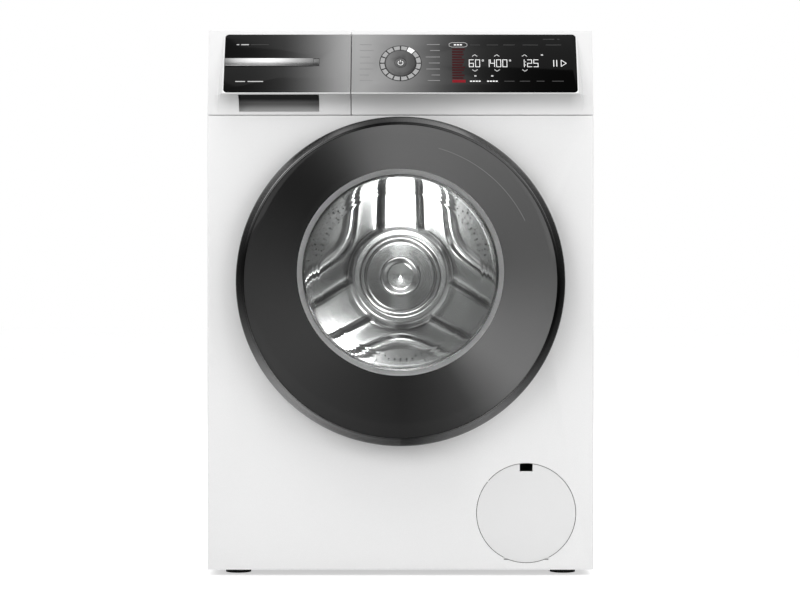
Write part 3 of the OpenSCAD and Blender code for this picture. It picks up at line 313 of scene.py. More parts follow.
# %% A material from the grain group
def material(name, tones, patch=8.0, grain=900.0, height=2e-5, rough=(0.3, 0.4), stretch=(1, 1, 1), **fixed):
    """tones are two grey levels. What is fixed goes straight on the shader, such as Metallic or Coat_Weight."""
    made = bpy.data.materials.new(name)
    made.use_nodes = True
    tree = made.node_tree
    shader = tree.nodes["Principled BSDF"]
    tint = fixed.pop("tint", (1, 1, 1))
    group = add(tree, "ShaderNodeGroup", {"node_tree": GRAIN}, Tone_A=tone(tones[0], tint),
                Tone_B=tone(tones[1], tint), Patch_Scale=patch, Grain_Scale=grain, Grain_Height=height,
                Rough_Low=rough[0], Rough_High=rough[1], Stretch=stretch)
    tree.links.new(group.outputs["Color"], shader.inputs["Base Color"])
    tree.links.new(group.outputs["Roughness"], shader.inputs["Roughness"])
    tree.links.new(group.outputs["Normal"], shader.inputs["Normal"])
    for key, value in fixed.items():
        shader.inputs[key.replace("_", " ")].default_value = value
    return made


def nodes_of(made):
    """The tree, the shader and the grain group of a material, to add to its colour."""
    tree = made.node_tree
    return tree, tree.nodes["Principled BSDF"], next(n for n in tree.nodes if n.type == "GROUP")


def ramp(tree, factor, stops):
    """A colour ramp from (place, grey level) pairs, eased between them."""
    node = add(tree, "ShaderNodeValToRGB", Fac=factor)
    node.color_ramp.interpolation = "EASE" if len(stops) < 4 else "B_SPLINE"
    while len(node.color_ramp.elements) < len(stops):
        node.color_ramp.elements.new(0.5)
    for element, (place, level) in zip(node.color_ramp.elements, sorted(stops)):
        element.position = place
        element.color = tone(level)
    return node.outputs["Color"]


def times_grain(made, colour):
    """Lets a drawn colour replace the group's own, while a little of the grain's drift stays in it."""
    tree, shader, group = nodes_of(made)
    mixed = add(tree, "ShaderNodeMix", {"data_type": "RGBA", "blend_type": "MULTIPLY"}, i0=1.0, i6=colour,
                i7=group.outputs["Color"])
    tree.links.new(mixed.outputs[2], shader.inputs["Base Color"])
    return made


# %% Plain finishes, one for each slot of the record
BRUSHED = dict(Metallic=1.0, rough=(0.26, 0.4))
FINISH = {
    "white_steel": material("white_lacquer", (247, 250), 3, 1400, 6e-6, (0.22, 0.3), Coat_Weight=0.3),
    "zinc": material("zinc_plate", (150, 205), 45, 700, 4e-6, (0.35, 0.55), Metallic=1.0),
    "white_top": material("white_laminate", (246, 250), 5, 2600, 1.2e-5, (0.3, 0.42)),
    "white_plastic": material("white_moulding", (238, 242), 6, 2200, 7e-6, (0.26, 0.36)),
    "grey_plastic": material("grey_moulding", (120, 132), 9, 1500, 3e-5, (0.4, 0.55)),
    "dark_plastic": material("black_moulding", (26, 38), 9, 1500, 3e-5, (0.42, 0.6)),
    "board": material("green_lacquered_board", (96, 120), 60, 900, 1e-5, (0.3, 0.45), tint=(0.2, 0.75, 0.3)),
    "rubber_black": material("black_rubber", (24, 34), 14, 1300, 5e-5, (0.55, 0.75)),
    "rubber_grey": material("grey_rubber", (112, 128), 12, 1200, 5e-5, (0.5, 0.68)),
    "steel": material("plated_steel", (165, 200), 30, 1500, 5e-6, (0.25, 0.4), Metallic=1.0),
    "stainless": material("brushed_stainless", (205, 222), 20, 700, 5e-6, stretch=(1, 14, 1), **BRUSHED),
    "tub_plastic": material("filled_polypropylene", (150, 166), 10, 1100, 4e-5, (0.5, 0.65)),
    "concrete": material("cast_concrete", (112, 150), 70, 420, 2.5e-4, (0.8, 0.95)),
    "cast_alloy": material("cast_alloy", (140, 165), 40, 900, 6e-5, (0.4, 0.6), Metallic=1.0),
    "motor_steel": material("laminated_steel", (48, 70), 30, 800, 3e-5, (0.4, 0.6), Metallic=1.0,
                            stretch=(1, 20, 1)),
    "dark_chrome": material("dark_chrome_plain", (60, 72), 12, 900, 2e-6, (0.16, 0.24), Metallic=1.0),
    "silver_trim": material("silver_trim_plain", (170, 190), 12, 900, 4e-6, (0.2, 0.3), Metallic=1.0,
                            stretch=(0.1, 8, 8)),
    "dark_glass": material("black_gloss", (30, 36), 6, 800, 1e-6, (0.05, 0.09), Specular_IOR_Level=0.3),
    "panel_glass": material("panel_gloss", (30, 36), 6, 800, 1e-6, (0.05, 0.09), Specular_IOR_Level=0.3),
    "clear_glass": material("clear_glass", (246, 252), 6, 60, 2e-6, (0.0, 0.02), Transmission_Weight=1.0,
                            IOR=1.05, tint=(0.98, 1.0, 0.99)),
    "clear_cover": material("clear_cover", (246, 252), 6, 60, 1e-6, (0.0, 0.02), Transmission_Weight=1.0,
                            IOR=1.45),
}
for node, obj in frame["nodes"].items():
    obj.data.materials.clear()
    obj.data.materials.append(FINISH[NODE_SLOT[node]])
print(len(FINISH), "plain finishes")

# %% [markdown]
# ## The door's own finishes
# The rim is dark chrome. Such a ring mirrors the room in bands, and these reflections are painted into its colour:
# its tone changes as a clock hand goes round, and the ramp below runs from the bottom, clockwise, back to the bottom.
# The big disc is smoked glass with painted reflections and painted shade: lighter at the top and lower right, dark at
# the upper left and bottom. Both ramps read the angle about the door's centre, from Object coordinates.

# %% A tone that turns round the door
def turning_tone(name, centre_z, stops, **settings):
    """stops are (degrees clockwise from the top, grey level)."""
    made = material(name, (247, 255), 6, 900, 1e-6, **settings)
    tree = made.node_tree
    place = add(tree, "ShaderNodeTexCoord").outputs["Object"]
    axes = add(tree, "ShaderNodeSeparateXYZ", Vector=place).outputs
    high = add(tree, "ShaderNodeMath", {"operation": "SUBTRACT"}, i0=axes["Z"], i1=centre_z * MM).outputs[0]
    turn = add(tree, "ShaderNodeMath", {"operation": "ARCTAN2"}, i0=axes["X"], i1=high).outputs[0]
    share = add(tree, "ShaderNodeMapRange", Value=turn, i1=-pi, i2=pi, i3=0.0, i4=1.0).outputs[0]
    spots = [((angle / 360 + 0.5) % 1, level) for angle, level in stops]
    seam = [level for angle, level in stops if angle == 180][0]
    return times_grain(made, ramp(tree, share, spots + [(1.0, seam)]))


# Painted reflections: the rim's tones are the room's bright and dark bands, painted round the ring.
RIM_REFLECTION_TONES = [(0, 20), (30, 118), (48, 110), (75, 10), (110, 8), (130, 70), (150, 130), (172, 46), (180, 56),
             (205, 110), (225, 160), (245, 80), (270, 24), (290, 24), (315, 145), (342, 22)]
# Painted reflections and painted shade: the disc is lighter at the top and lower right, dark at the upper left and
# bottom.
DISC_REFLECTION_TONES = [(0, 108), (30, 102), (70, 84), (95, 94), (125, 124), (138, 108), (152, 54), (180, 38),
              (215, 56), (240, 66), (270, 57), (300, 36), (318, 30), (333, 52), (346, 100)]
RIM = turning_tone("rim_chrome_painted_reflections", DOOR_Z, RIM_REFLECTION_TONES, rough=(0.2, 0.3), Metallic=1.0)
SMOKED = turning_tone("smoked_glass_painted_reflections", DOOR_Z, DISC_REFLECTION_TONES, rough=(0.05, 0.08), Specular_IOR_Level=0.12)
print("rim and disc finishes:", RIM.name, SMOKED.name)

# %% [markdown]
# The control panel's glass carries a painted reflection of a soft lamp: nearly black at its left end, light grey
# beside the gap of the drawer, and darker again towards the display. It is one fade along X for both pieces of glass.

# %% The panel's painted reflection
def fading_tone(name, stops, x0, x1, **settings):
    """stops are (share of the way from x0 to x1, grey level)."""
    made = material(name, (247, 255), 6, 900, 1e-6, **settings)
    tree = made.node_tree
    place = add(tree, "ShaderNodeTexCoord").outputs["Object"]
    along = add(tree, "ShaderNodeSeparateXYZ", Vector=place).outputs["X"]
    share = add(tree, "ShaderNodeMapRange", Value=along, i1=x0 * MM, i2=x1 * MM, i3=0.0, i4=1.0).outputs[0]
    return times_grain(made, ramp(tree, share, stops))


# Painted reflection: a soft lamp's reflection, light in the middle and dark at both ends, painted along X.
PANEL_REFLECTION_TONES = [(0.0, 22), (0.17, 34), (0.27, 105), (0.36, 172), (0.43, 155), (0.52, 122), (0.62, 66), (0.74, 24),
               (0.88, 10), (1.0, 6)]
PANEL = fading_tone("panel_glass_painted_reflection", PANEL_REFLECTION_TONES, -273, 273, rough=(0.05, 0.09), Specular_IOR_Level=0.06)
# Painted reflection on the brushed strip, brightest near its middle, painted along X.
STRIP_REFLECTION_TONES = [(0.0, 110), (0.12, 150), (0.4, 205), (0.55, 190), (0.75, 135), (1.0, 70)]
STRIP = fading_tone("brushed_strip_painted_reflection", STRIP_REFLECTION_TONES, -273, -126, rough=(0.2, 0.32), Metallic=1.0,
                    stretch=(0.1, 8, 8))
print("panel and strip finishes")


# %% [markdown]
# ## Two trees that repeat things
# A machine is full of repeats: holes in the drum, screws in the back, marks round the dial. Geometry Nodes put
# one small mesh on many places. `stamp` sets it on a list of points, each turned to its own direction.
# `turn_copies` spaces it evenly round a circle.

# %% Trees for repeats
def new_tree(name, inputs):
    tree = bpy.data.node_groups.new(name, "GeometryNodeTree")
    tree.interface.new_socket("Geometry", in_out="INPUT", socket_type="NodeSocketGeometry")
    for label, kind in inputs:
        tree.interface.new_socket(label, in_out="INPUT", socket_type="NodeSocket" + kind)
    tree.interface.new_socket("Geometry", in_out="OUTPUT", socket_type="NodeSocketGeometry")
    return tree, add(tree, "NodeGroupInput").outputs


def close_tree(tree, points, given, rotation):
    """Ends a tree: the unit on every point, made real, with its material."""
    unit = add(tree, "GeometryNodeObjectInfo", Object=given["Unit"])
    placed = add(tree, "GeometryNodeInstanceOnPoints", Points=points, Instance=unit.outputs["Geometry"],
                 Rotation=rotation, Scale=given["Size"])
    real = add(tree, "GeometryNodeRealizeInstances", Geometry=placed.outputs[0])
    done = add(tree, "GeometryNodeSetMaterial", Geometry=real.outputs[0], Material=given["Material"])
    add(tree, "NodeGroupOutput", i0=done.outputs[0])
    return tree


STAMP, given = new_tree("stamp", [("Unit", "Object"), ("Size", "Vector"), ("Material", "Material")])
facing = add(STAMP, "GeometryNodeInputNamedAttribute", {"data_type": "FLOAT_VECTOR"}, Name="facing")
lean = add(STAMP, "FunctionNodeAlignRotationToVector", {"axis": "Z"}, Vector=facing.outputs[0])
close_tree(STAMP, given["Geometry"], given, lean.outputs[0])

TURN, given = new_tree("turn_copies", [("Unit", "Object"), ("Size", "Vector"), ("Material", "Material"),
                                       ("Count", "Int")])
line = add(TURN, "GeometryNodeMeshLine", Count=given["Count"], Offset=(0, 0, 0))
number = add(TURN, "GeometryNodeInputIndex").outputs[0]
step = add(TURN, "ShaderNodeMath", {"operation": "DIVIDE"}, i0=2 * pi, i1=given["Count"]).outputs[0]
angle = add(TURN, "ShaderNodeMath", {"operation": "MULTIPLY"}, i0=number, i1=step).outputs[0]
spin = add(TURN, "ShaderNodeCombineXYZ", Z=angle).outputs[0]
close_tree(TURN, line.outputs[0], given, spin)


def run_tree(tree, start, unit, finish, **extra):
    """Runs a tree once on a mesh, and returns the plain mesh object it makes."""
    modifier = start.modifiers.new("repeat", "NODES")
    modifier.node_group = tree
    values = {"Unit": unit, "Size": (1.0, 1.0, 1.0), "Material": finish, **extra}
    for item in tree.interface.items_tree:
        if item.item_type == "SOCKET" and item.in_out == "INPUT" and item.name in values:
            modifier[item.identifier] = values[item.name]
    bpy.context.view_layer.update()
    graph = bpy.context.evaluated_depsgraph_get()
    mesh = bpy.data.meshes.new_from_object(start.evaluated_get(graph))
    start.modifiers.clear()
    start.data = mesh
    bpy.data.objects.remove(unit)
    return start


def stamp(name, places, unit, finish):
    """places are (place in the frame's metres, direction) pairs."""
    mesh = bpy.data.meshes.new(name)
    mesh.from_pydata([p for p, _ in places], [], [])
    way = mesh.attributes.new("facing", "FLOAT_VECTOR", "POINT")
    for item, (_, direction) in zip(way.data, places):
        item.vector = direction
    made = run_tree(STAMP, object_from(name, mesh), unit, finish)
    print(f"{name}: {len(places)} copies, {len(made.data.polygons)} faces")
    return made


print("trees:", STAMP.name, TURN.name)

# %% [markdown]
# ## Panels
# The cabinet's panels already have the right shape, so each keeps its place and only its edges are finished. A
# pressed steel edge has a radius of about a millimetre, the laminate top a softer one, and mouldings lie between.

# %% [markdown]
# ## Painted shade in the mouldings
# The band curves back in under the glass, and behind the drawer's lower edge is a recess for the fingers. Both are
# real hollows in the frame, and both get painted shade by height: under the glass's overhang, and near-black in the
# recess.

# %% Mouldings with painted shade in the cove below the glass
COVE_FOOT = 714
COVE_TOP = 746
COVE_HALF = 262
COVE_FADE = 28


def cove_shade(made):
    """Paints shade that deepens towards the glass's lower edge, where the band curves back in under it."""
    tree, shader, group = nodes_of(made)
    place = add(tree, "ShaderNodeTexCoord").outputs["Object"]
    axes = add(tree, "ShaderNodeSeparateXYZ", Vector=place).outputs
    share = add(tree, "ShaderNodeMapRange", Value=axes["Z"], i1=COVE_FOOT * MM, i2=COVE_TOP * MM, i3=0.0, i4=1.0)
    shade = ramp(tree, share.outputs[0], [(0.0, 255), (0.97, 205), (1.0, 255)])
    aside = add(tree, "ShaderNodeMath", {"operation": "ABSOLUTE"}, i0=axes["X"]).outputs[0]
    fade = add(tree, "ShaderNodeMapRange", Value=aside, i1=COVE_HALF * MM, i2=(COVE_HALF + COVE_FADE) * MM,
               i3=1.0, i4=0.0)
    mixed = add(tree, "ShaderNodeMix", {"data_type": "RGBA", "blend_type": "MULTIPLY"}, i0=fade.outputs[0],
                i6=group.outputs["Color"], i7=shade)
    tree.links.new(mixed.outputs[2], shader.inputs["Base Color"])
    return mixed.outputs[2]


# The fascia carries painted shade under the glass's overhang.
FASCIA = material("fascia_moulding_painted_shade", (240, 244), 6, 2200, 7e-6, (0.26, 0.36), Specular_IOR_Level=0.2)
cove_shade(FASCIA)
print("fascia finish")

# %% The drawer front with painted shade in its finger recess
RECESS_Y = -1.9
RECESS_Z = 736.2
RECESS_R = 17.6
RECESS_X = -188
RECESS_HALF = 62.3
DRAWER = material("drawer_moulding_painted_shade", (240, 244), 6, 2200, 7e-6, (0.26, 0.36), Specular_IOR_Level=0.2)
shaded = cove_shade(DRAWER)
tree, shader, group = nodes_of(DRAWER)
place = add(tree, "ShaderNodeTexCoord").outputs["Object"]
axes = add(tree, "ShaderNodeSeparateXYZ", Vector=place).outputs
flat = add(tree, "ShaderNodeCombineXYZ", Y=axes["Y"], Z=axes["Z"]).outputs[0]
axis_at = (0, FRONT + RECESS_Y * MM, RECESS_Z * MM)
away = add(tree, "ShaderNodeVectorMath", {"operation": "DISTANCE"}, i0=flat, i1=axis_at).outputs["Value"]
near = add(tree, "ShaderNodeMapRange", Value=away, i1=RECESS_R * MM, i2=(RECESS_R + 0.4) * MM,
           i3=1.0, i4=0.0)
aside = add(tree, "ShaderNodeMath", {"operation": "SUBTRACT"}, i0=axes["X"], i1=RECESS_X * MM).outputs[0]
aside = add(tree, "ShaderNodeMath", {"operation": "ABSOLUTE"}, i0=aside).outputs[0]
within = add(tree, "ShaderNodeMath", {"operation": "LESS_THAN"}, i0=aside, i1=RECESS_HALF * MM).outputs[0]
inside = add(tree, "ShaderNodeMath", {"operation": "MULTIPLY"}, i0=near.outputs[0], i1=within)
# Painted shade in the finger recess: the white moulding turns near-black just under the glass and lightens downwards.
share = add(tree, "ShaderNodeMapRange", Value=axes["Z"], i1=720 * MM, i2=750 * MM, i3=0.0, i4=1.0).outputs[0]
shade = ramp(tree, share, [(0.0, 225), (0.45, 120), (0.7, 6)])
mixed = add(tree, "ShaderNodeMix", {"data_type": "RGBA"}, i0=inside.outputs[0], i6=shaded, i7=shade)
tree.links.new(mixed.outputs[2], shader.inputs["Base Color"])
print("drawer finish")

# %% Cabinet panels with soft edges
# Painted shade: the side panels are the front's white lacquer made darker, a shaded copy of it.
SIDES = material("side_lacquer_painted_shade", (224, 229), 3, 1400, 6e-6, (0.26, 0.34), Coat_Weight=0.2)
refined("worktop_finished", ["worktop"], FINISH["white_top"], 1.8, segments=3)
refined("side_panels_finished", ["side_panels"], SIDES, 0.45)
refined("front_panel_finished", ["front_panel"], FINISH["white_steel"], 0.45)
refined("rear_panel_finished", ["rear_panel"], FINISH["zinc"], 0.4)
refined("rear_cover_finished", ["rear_cover"], FINISH["zinc"], 0.8)
refined("base_tray_finished", ["base_tray"], FINISH["grey_plastic"], 0.8)
refined("feet_finished", ["levelling_feet"], FINISH["dark_plastic"], 0.5)
refined("rear_glands_finished", ["rear_glands"], FINISH["dark_plastic"], 0.5)
refined("transport_caps_finished", ["transport_caps"], FINISH["white_plastic"], 0.8)
refined("fascia_finished", ["control_fascia"], FASCIA, 0.7)
refined("drawer_front_finished", ["drawer_front"], DRAWER, 0.7)
refined("service_flap_finished", ["service_flap"], FINISH["white_plastic"], 0.7, segments=3)
refined("drawer_tray_finished", ["drawer_tray"], FINISH["white_plastic"], 0.6)
refined("inlet_valve_finished", ["inlet_valve"], FINISH["white_plastic"], 0.5)
refined("hinge_arm_finished", ["hinge_arm"], FINISH["steel"], 0.5)
refined("latch_hook_finished", ["latch_hook"], FINISH["steel"], 0.4)
refined("filter_plug_finished", ["filter_plug"], FINISH["grey_plastic"], 0.8)

# %% Panel glass, strip, dial and button
refined("panel_glass_right", ["fascia_glass"], PANEL, 0.5)
refined("panel_glass_left", ["drawer_glass"], PANEL, 0.5)
refined("handle_strip", ["drawer_trim"], STRIP, 0.3)
# Painted reflection on the dial and the power key: lighter on the left, darker on the right.
DIAL = fading_tone("dial_painted_reflection", [(0.0, 120), (0.5, 92), (1.0, 66)], -24, 24, rough=(0.05, 0.09),
                   Specular_IOR_Level=0.15)
refined("dial", ["selector_ring"], DIAL, 0.3)
refined("power_key", ["power_button"], DIAL, 0.5)

# %% [markdown]
# ## Screws
# The back is held by small pan-head screws. Their places are read from the frame: each loose island of the node
# `case_screws` is one screw. The head is a lathed dome with a cross cut into it, and `stamp` sets it twenty times.

# %% Where each screw is
def islands(node):
    """The boxes, in metres, of a node's separate solids."""
    bm = bmesh.new()
    bm.from_mesh(frame["nodes"][node].data)
    bmesh.ops.remove_doubles(bm, verts=bm.verts, dist=1e-5)
    left, boxes = set(bm.verts), []
    while left:
        group, edge = set(), [left.pop()]
        while edge:
            vert = edge.pop()
            group.add(vert)
            for other in (e.other_vert(vert) for e in vert.link_edges):
                if other in left:
                    left.remove(other)
                    edge.append(other)
        corners = [v.co.copy() for v in group]
        boxes.append([Vector(map(f, *corners)) for f in (min, max)])
    bm.free()
    return boxes


SCREWS = islands("case_screws")
print(len(SCREWS), "screws, the first", [round(c, 3) for c in SCREWS[0][0]])


# %% A screw with a cross recess
def screw_unit():
    low, high = SCREWS[0]
    r, h = (high.x - low.x) / 2, high.y - low.y
    bm = bmesh.new()
    sides = 24
    levels = [(1.0, 0.0), (1.0, 0.45), (0.86, 0.8), (0.55, 1.0)]
    rings = [[bm.verts.new((r * s * cos(2 * pi * k / sides), r * s * sin(2 * pi * k / sides), h * z))
              for k in range(sides)] for s, z in levels]
    for a, b in zip(rings, rings[1:]):
        for k in range(sides):
            n = (k + 1) % sides
            bm.faces.new((a[k], a[n], b[n], b[k]))
    bm.faces.new(rings[-1])
    bm.faces.new(list(reversed(rings[0])))
    head = mesh_object("screw", bm)
    for turn in (0, pi / 2):
        bm = bmesh.new()
        slot = bmesh.ops.create_cube(bm, size=1)["verts"]
        bmesh.ops.scale(bm, vec=(r * 1.05, r * 0.22, h), verts=slot)
        bmesh.ops.translate(bm, vec=(0, 0, h * 0.95), verts=slot)
        bmesh.ops.rotate(bm, matrix=Matrix.Rotation(turn, 3, "Z"), verts=slot)
        cutter = mesh_object("cross", bm)
        with_modifiers(head, ("BOOLEAN", {"object": cutter, "solver": "EXACT"}))
        bpy.data.objects.remove(cutter)
    return head


places = []
for low, high in SCREWS:
    centre, size = (low + high) / 2, high - low
    axis = min(range(3), key=lambda i: size[i])
    outward = Vector([0, 0, 0])
    outward[axis] = 1 if centre[axis] > 0 else -1
    places.append((centre - outward * size[axis] / 2, outward))
screws = stamp("case_screw_heads", places, screw_unit(), FINISH["steel"])
finish_piece(screws, FINISH["steel"], "cabinet", ["case_screws"])

# %% [markdown]
# ## The display
# Behind the panel glass sit red and white lamps. On the glass they show as thin bright figures, so each is a
# plate a few tenths of a millimetre thick on the glass, with a material that gives light. The words that stand
# there on the real machine are left as short plain bars.

# %% Places on the glass
DIAL_AT = middle("power_button")
UP = Vector((0, 0.461931, 0.886916))
OUT = Vector((0, -0.886916, 0.461931))
DIAL_UP = 53.5
GLASS_FOOT = DIAL_AT - DIAL_UP * UP
GLASS_FOOT += OUT * ((Vector((0, -22, 747)) - GLASS_FOOT).dot(OUT))


def on_glass(x, v, out=0.0):
    """x across, v up the slant from the glass's lower edge, out in front of it, in millimetres."""
    p = GLASS_FOOT + UP * v + OUT * out
    return at(x, p.y, p.z)


def add_plate(bm, corners, thick=0.18):
    """A thin plate on the glass, from (x, v) corners that run anticlockwise."""
    low = [bm.verts.new(on_glass(x, v, -0.05)) for x, v in corners]
    high = [bm.verts.new(on_glass(x, v, thick)) for x, v in corners]
    bm.faces.new(high)
    bm.faces.new(list(reversed(low)))
    for k in range(len(corners)):
        n = (k + 1) % len(corners)
        bm.faces.new((low[k], low[n], high[n], high[k]))


def add_bar(bm, x0, x1, v, height=1.6):
    add_plate(bm, [(x0, v - height / 2), (x1, v - height / 2), (x1, v + height / 2), (x0, v + height / 2)])


def add_strokes(bm, points, width=1.0):
    """A chain of strokes through (x, v) points."""
    for a, b in zip(points, points[1:]):
        a, b = Vector(a), Vector(b)
        side = Vector((b.y - a.y, a.x - b.x)).normalized() * width / 2
        add_plate(bm, [tuple(a + side), tuple(b + side), tuple(b - side), tuple(a - side)])


print("glass foot", [round(c, 1) for c in GLASS_FOOT])


# %% Seven-segment figures
SEGMENTS = {"0": "abcdef", "1": "bc", "2": "abged", "4": "fgbc", "5": "afgcd", "6": "afgedc"}


def add_digit(bm, figure, x, v, w=7.8, h=14.2, t=1.3):
    """A figure made of the lamps a to g, with thin strokes."""
    m = h / 2
    lamps = {"a": (x, x + w, v + h - t, v + h), "g": (x, x + w, v + m - t / 2, v + m + t / 2),
             "d": (x, x + w, v, v + t), "f": (x, x + t, v + m, v + h), "b": (x + w - t, x + w, v + m, v + h),
             "e": (x, x + t, v, v + m), "c": (x + w - t, x + w, v, v + m)}
    for lamp in SEGMENTS[figure]:
        x0, x1, v0, v1 = lamps[lamp]
        gap = 0.15
        add_plate(bm, [(x0 + gap, v0 + gap), (x1 - gap, v0 + gap), (x1 - gap, v1 - gap), (x0 + gap, v1 - gap)])


# %% Lamp materials
def lamp(name, colour, strength):
    """Lamp print: a faint grain of its own and a steady glow."""
    made = material(name, (150, 170), 40, 900, 1e-6, (0.3, 0.4), tint=colour, Specular_IOR_Level=0.1)
    tree, shader, group = nodes_of(made)
    tree.links.new(group.outputs["Color"], shader.inputs["Emission Color"])
    shader.inputs["Emission Strength"].default_value = strength
    return made


LAMP_WHITE = lamp("lamp_white", (1, 1, 1), 2.0)
LAMP_SOFT = lamp("lamp_soft", (1, 1, 1), 0.8)
LAMP_DIM = lamp("lamp_dim", (0.12, 0.12, 0.12), 0.03)
PRINT = lamp("print_pale", (0.8, 0.8, 0.8), 0.0)
LAMP_RED = lamp("lamp_red", (0.55, 0.012, 0.03), 0.3)
LAMP_RED_DIM = lamp("lamp_red_dim", (0.12, 0.006, 0.01), 0.04)


def lamp_piece(name, bm, finish, body="cabinet"):
    obj = mesh_object(name, bm, merge=1e-7)
    finish_piece(obj, finish, body)
    print(f"{name}: {len(obj.data.polygons)} faces")
    return obj


# %% Time, temperature and speed
bm = bmesh.new()
for figure, x in (("6", 105.8), ("0", 115.6), ("1", 130.2), ("4", 138.6), ("0", 148.2), ("0", 157.8),
                  ("1", 184.6), ("2", 196.2), ("5", 206.0)):
    add_digit(bm, figure, x, 46.4)
for v in (50.4, 56.2):
    add_bar(bm, 193.2, 194.5, v, 1.3)
for x in (236.8, 241.5):
    add_bar(bm, x, x + 1.3, 53.5, 12)
add_strokes(bm, [(249.0, 47.6), (249.0, 59.4), (257.0, 53.5), (249.0, 47.6)])
for x0, x1 in ((107.2, 124.2), (133.5, 150.4)):
    for k in range(4):
        add_bar(bm, x0 + 4.4 * k, x0 + 4.4 * k + 3.2, 20.5, 2.0)
for k in range(3):
    add_bar(bm, 83 + 4.6 * k, 86.4 + 4.6 * k, 87.8, 2.2)
for x0, v in ((126.2, 58.6), (168.4, 58.6)):
    for dx in (0, 2.2):
        add_bar(bm, x0 + dx, x0 + dx + 0.6, v, 2.8)
    for dv in (-1.1, 1.1):
        add_bar(bm, x0, x0 + 2.8, v + dv, 0.6)
lamp_piece("display_bright", bm, LAMP_WHITE)

# %% Arrows, names and dim marks
bm = bmesh.new()
for x in (115.2, 149.4, 192.5):
    add_strokes(bm, [(x - 4, 66.2), (x, 69.4), (x + 4, 66.2)], 1.1)
    add_strokes(bm, [(x - 4, 41.9), (x, 38.7), (x + 4, 41.9)], 1.1)
for x in (115.7, 141.7, 219.7):
    add_bar(bm, x - 1.7, x + 1.7, 30.2 if x < 200 else 68.8, 2.4)
PILL = [(80, 83.6), (99, 83.6), (103.4, 85.6), (103.4, 90), (99, 91.9), (80, 91.9), (75.6, 90), (75.6, 85.6),
        (80, 83.6)]
add_strokes(bm, PILL, 0.6)
lamp_piece("display_soft", bm, LAMP_SOFT)
bm = bmesh.new()
for x0, x1, v in ((-255, -251, 88), (-248, -236, 88), (-255, -240, 20), (-236, -212, 20)):
    add_bar(bm, x0, x1, v, 1.5)
lamp_piece("drawer_marks", bm, LAMP_SOFT, "drawer")
bm = bmesh.new()
add_bar(bm, -233, -205, 88, 1.5)
lamp_piece("drawer_marks_dim", bm, LAMP_DIM, "drawer")

# %% Printed names beside the dial
bm = bmesh.new()
NAME_ROWS = [88.3, 77.2, 65.1, 54.0, 42.9, 31.9, 21.8]
for i, v in enumerate(NAME_ROWS):
    add_bar(bm, -63, -63 + (18, 22, 16, 24, 20, 14, 21)[i], v, 1.2)
    add_bar(bm, 61 - (20, 15, 22, 17, 21, 13, 19)[i], 61, v, 1.2)
lamp_piece("dial_names", bm, PRINT)

# %% Dim names on the display
bm = bmesh.new()
for x0, x1 in ((108, 124), (134, 152), (160, 178), (190, 214), (226, 250)):
    add_bar(bm, x0, x1, 87.4, 1.5)
for x0, x1 in ((160, 176), (184, 200), (210, 222), (234, 252)):
    add_bar(bm, x0, x1, 20.5, 1.5)
for x0, x1 in ((222, 240), (244, 248)):
    add_bar(bm, x0, x1, 98, 1.5)
lamp_piece("display_names", bm, LAMP_DIM)

# %% Red rows
bm = bmesh.new()
for i in range(12):
    add_bar(bm, 80, 80 + (17, 19, 15, 18, 20, 16, 18, 19, 15, 18, 17, 20)[i], 26.5 + 4.8 * i, 3.0)
lamp_piece("display_red_rows", bm, LAMP_RED_DIM)
bm = bmesh.new()
add_bar(bm, 80, 100.5, 20.6, 5.0)
lamp_piece("display_red_row_bright", bm, LAMP_RED)

# %% [markdown]
# ## Lamps round the dial
# Sixteen light-grey segments ring the dial, one for each programme. One segment is drawn once, flat, and
# `turn_copies` repeats it round the circle; the whole ring is then laid on the slanted glass.

# %% Ring of segments
def flat_segment(r0, r1, half_angle, thick=0.22, steps=5, middle_angle=0.0):
    bm = bmesh.new()
    turns = [middle_angle + half_angle * (2 * k / steps - 1) for k in range(steps + 1)]
    edge = [(r0 * cos(a), r0 * sin(a)) for a in turns] + [(r1 * cos(a), r1 * sin(a)) for a in reversed(turns)]
    low = [bm.verts.new((x * MM, y * MM, -0.05 * MM)) for x, y in edge]
    high = [bm.verts.new((x * MM, y * MM, thick * MM)) for x, y in edge]
    for k in range(len(edge)):
        n = (k + 1) % len(edge)
        bm.faces.new((low[k], low[n], high[n], high[k]))
    for k in range(steps):
        for ring in (low, high):
            bm.faces.new((ring[k], ring[k + 1], ring[-2 - k], ring[-1 - k]))
    return mesh_object("segment", bm, merge=1e-7)


SEGMENT_IN, SEGMENT_OUT = 25.0, 31.5
SEGMENT_HALF = radians(9.0)
STEP = radians(22.5)
TO_GLASS = Matrix.Translation(on_glass(0, DIAL_UP)) @ Matrix(
    ((1, 0, 0), tuple(UP), tuple(OUT))).transposed().to_4x4()
RING = material("segment_grey", (150, 166), 40, 900, 1e-6, (0.25, 0.35))
blank = object_from("dial_segments", bpy.data.meshes.new("dial_segments"))
one = flat_segment(SEGMENT_IN, SEGMENT_OUT, SEGMENT_HALF, middle_angle=STEP / 2)
segments = run_tree(TURN, blank, one, RING, Count=16)
segments.data.transform(TO_GLASS)
finish_piece(segments, RING, "cabinet")
lit = flat_segment(SEGMENT_IN - 0.6, SEGMENT_OUT + 0.8, radians(10.2), 0.3, middle_angle=2.5 * STEP)
lit.name = "dial_segment_lit"
lit.data.transform(TO_GLASS)
finish_piece(lit, LAMP_WHITE, "cabinet")
ground = flat_segment(23.7, 32.9, pi - 1e-4, 0.12, 96)
ground.name = "dial_ground"
ground.data.transform(TO_GLASS)
finish_piece(ground, FINISH["panel_glass"], "cabinet")
print("dial ring:", len(segments.data.polygons), "faces")

